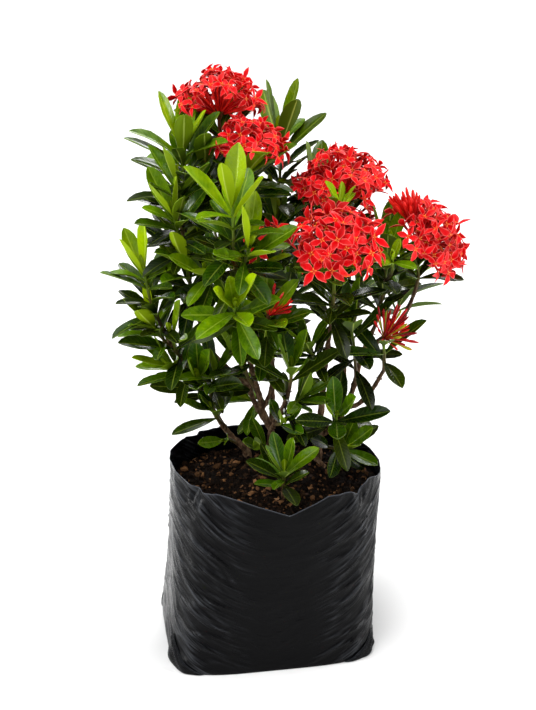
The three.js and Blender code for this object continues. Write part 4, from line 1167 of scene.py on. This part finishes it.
for number, (name, head) in enumerate(HEADS.items(), start=1):
    rand = random.Random(300 + number)
    end, bend, core, facing = head_base(head["on"], head["axis"], 8)
    line = smooth_route([end, bend, core], 2)
    peduncle = tube(line, [1.5] * len(line), 8)
    peduncle.data.materials.append(stalk)
    parts = [peduncle]
    for ray in range(STALKS):
        direction = dome_direction(facing, ray * GOLDEN_ANGLE, math.radians(12 + 6 * ray))
        stem = tube([core - facing * 5, core + direction * 4, core + direction * 8.5], [0.9, 0.8, 0.7], 6)
        stem.data.materials.append(stalk)
        parts.append(stem)
    closed, bare = [Vector(head.get(key, (0, 0, -1))).normalized() for key in ("closed", "bare")]
    bare_to = math.radians(head.get("bare_to", 0))
    for i in range(head["florets"]):
        around = i * GOLDEN_ANGLE + math.radians(40 * number)
        off = math.radians(head["spread"] * math.sqrt((i + 0.4) / head["florets"]) + rand.uniform(-4, 4))
        reach = head["reach"] + FLORET_LAYERS[i % 5] + rand.uniform(-1, 1)
        for swing, lift, shrink in FLORET_NUDGES:
            direction = dome_direction(facing, around + math.radians(swing), off + math.radians(lift))
            place = core + direction * reach * shrink
            ring = [place + dome_direction(direction, quarter * math.pi / 2, math.pi / 2) * FLORET_ROOM
                    for quarter in range(4)]
            filled = direction.angle(closed) < CLOSED_TO or direction.angle(bare) < bare_to
            if not filled and all(is_free(spot, 1.0) for spot in [place, *ring]):
                # painted shade: florets set deeper in the dome get a darker tint
                depth_shaded_tint = head["tint"] + FLORET_LAYERS[i % 5] / 40
                parts.append(lay_floret(core, direction, reach * shrink, rand, depth_shaded_tint, head["size"]))
                break
    if "closed" in head:
        for i in range(CLOSED_FLORETS):
            direction = dome_direction(closed, i * GOLDEN_ANGLE, CLOSED_STEP * math.sqrt(i))
            length = head["reach"] * rand.uniform(0.85, 1.1)
            parts.append(lay_bud(core + closed * CLOSED_START, direction, length, rand,
                                 rand.uniform(0.55, RIPEST)))
    bloom = join("bloom_" + name, parts)
    bpy.ops.object.shade_smooth_by_angle(angle=math.radians(50))
    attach(bloom, "root")
    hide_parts(name)


# ------------------------------------------------------------------ bud clusters
# Young heads, not yet open: stiff spindle-shaped buds that bristle from one point, dark red with
# lighter tips and a few that are still yellow-green.
CLUSTERS = {
    "bud_cluster_1": dict(on="shoot_centre_4", axis=(0.4, -0.35, 1), spread=46, buds=20, length=29),
    "bud_cluster_2": dict(on="shoot_buds_2", axis=(0.7, -0.4, 0.9), spread=64, buds=42, length=32),
}
for number, (name, cluster) in enumerate(CLUSTERS.items(), start=1):
    rand = random.Random(500 + number)
    end, bend, core, facing = head_base(cluster["on"], cluster["axis"], 1)
    line = smooth_route([end, bend, core + facing * 3], 2)
    foot = tube(line, [1.7] * len(line), 8)
    foot.data.materials.append(stalk)
    parts = [foot]
    for i in range(cluster["buds"]):
        off = math.radians(cluster["spread"] * math.sqrt((i + 0.3) / cluster["buds"]) + rand.uniform(-3, 3))
        direction = dome_direction(facing, i * GOLDEN_ANGLE, off)
        length = cluster["length"] * rand.uniform(0.75, 1.05)
        tint = rand.uniform(0.92, 1) if rand.random() < 0.14 else rand.uniform(0, 0.75)
        parts.append(lay_bud(core, direction, length, rand, tint, 0.78))
    spikes = join("spikes_" + name, parts)
    bpy.ops.object.shade_smooth_by_angle(angle=math.radians(50))
    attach(spikes, "root")
    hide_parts(name)
for template in (floret, bud):
    bpy.data.objects.remove(template)


# ------------------------------------------------------------------ studio
# A pale seamless floor under a soft white surround, a broad high light that models the leaves, a
# narrower one from overhead, and three soft boxes, left, right and high behind, that draw the sheen
# on the film and on waxy leaves.
bpy.ops.mesh.primitive_plane_add(size=160, location=(0, 0, -0.0002))
floor = named("studio_floor")
paper, tree, shader = material("matt_white_paper")
surface(tree, shader, 0xe2e2e2, 0.9, 0.0)
floor.data.materials.append(paper)

scene = bpy.context.scene
world = bpy.data.worlds.new("white_surround")
world.use_nodes = True
sky = world.node_tree.nodes["Background"].inputs
sky["Color"].default_value, sky["Strength"].default_value = linear(0xffffff), 0.22
scene.world = world
# Each sun's direction, strength and width in degrees.
SUNS = [("key", (-0.32, -0.45, 0.84), 2.75, 60), ("top", (0.06, 0.08, 1), 2.1, 16)]
for name, toward, strength, width in SUNS:
    bpy.ops.object.light_add(type="SUN", location=toward)
    lamp = named(name + "_light")
    lamp.data.energy, lamp.data.angle = strength, math.radians(width)
    lamp.rotation_euler = Vector(toward).to_track_quat("Z", "Y").to_euler()
SOFT_BOXES = [                                # place, width and height in m, power in W
    ("left", (-2.4, -0.8, 0.5), 0.3, 1.8, 66), ("right", (2.4, -0.7, 0.5), 0.3, 1.8, 62),
    ("back", (0.3, 2.2, 2.0), 1.0, 0.4, 25),
]
for name, place, width, height, power in SOFT_BOXES:
    bpy.ops.object.light_add(type="AREA", location=place)
    lamp = named(name + "_soft_box")
    lamp.data.shape, lamp.data.size, lamp.data.size_y = "RECTANGLE", width, height
    lamp.data.energy = power
    lamp.rotation_euler = (Vector(place) - Vector((0, 0, 0.2))).to_track_quat("Z", "Y").to_euler()

bpy.ops.object.camera_add(location=(-0.003, -1.034, 0.654), rotation=(math.radians(70), 0, 0))
camera = named("camera")
camera.data.lens, camera.data.sensor_width = 61.96, 36
scene.camera = camera
scene.view_settings.view_transform = "Standard"
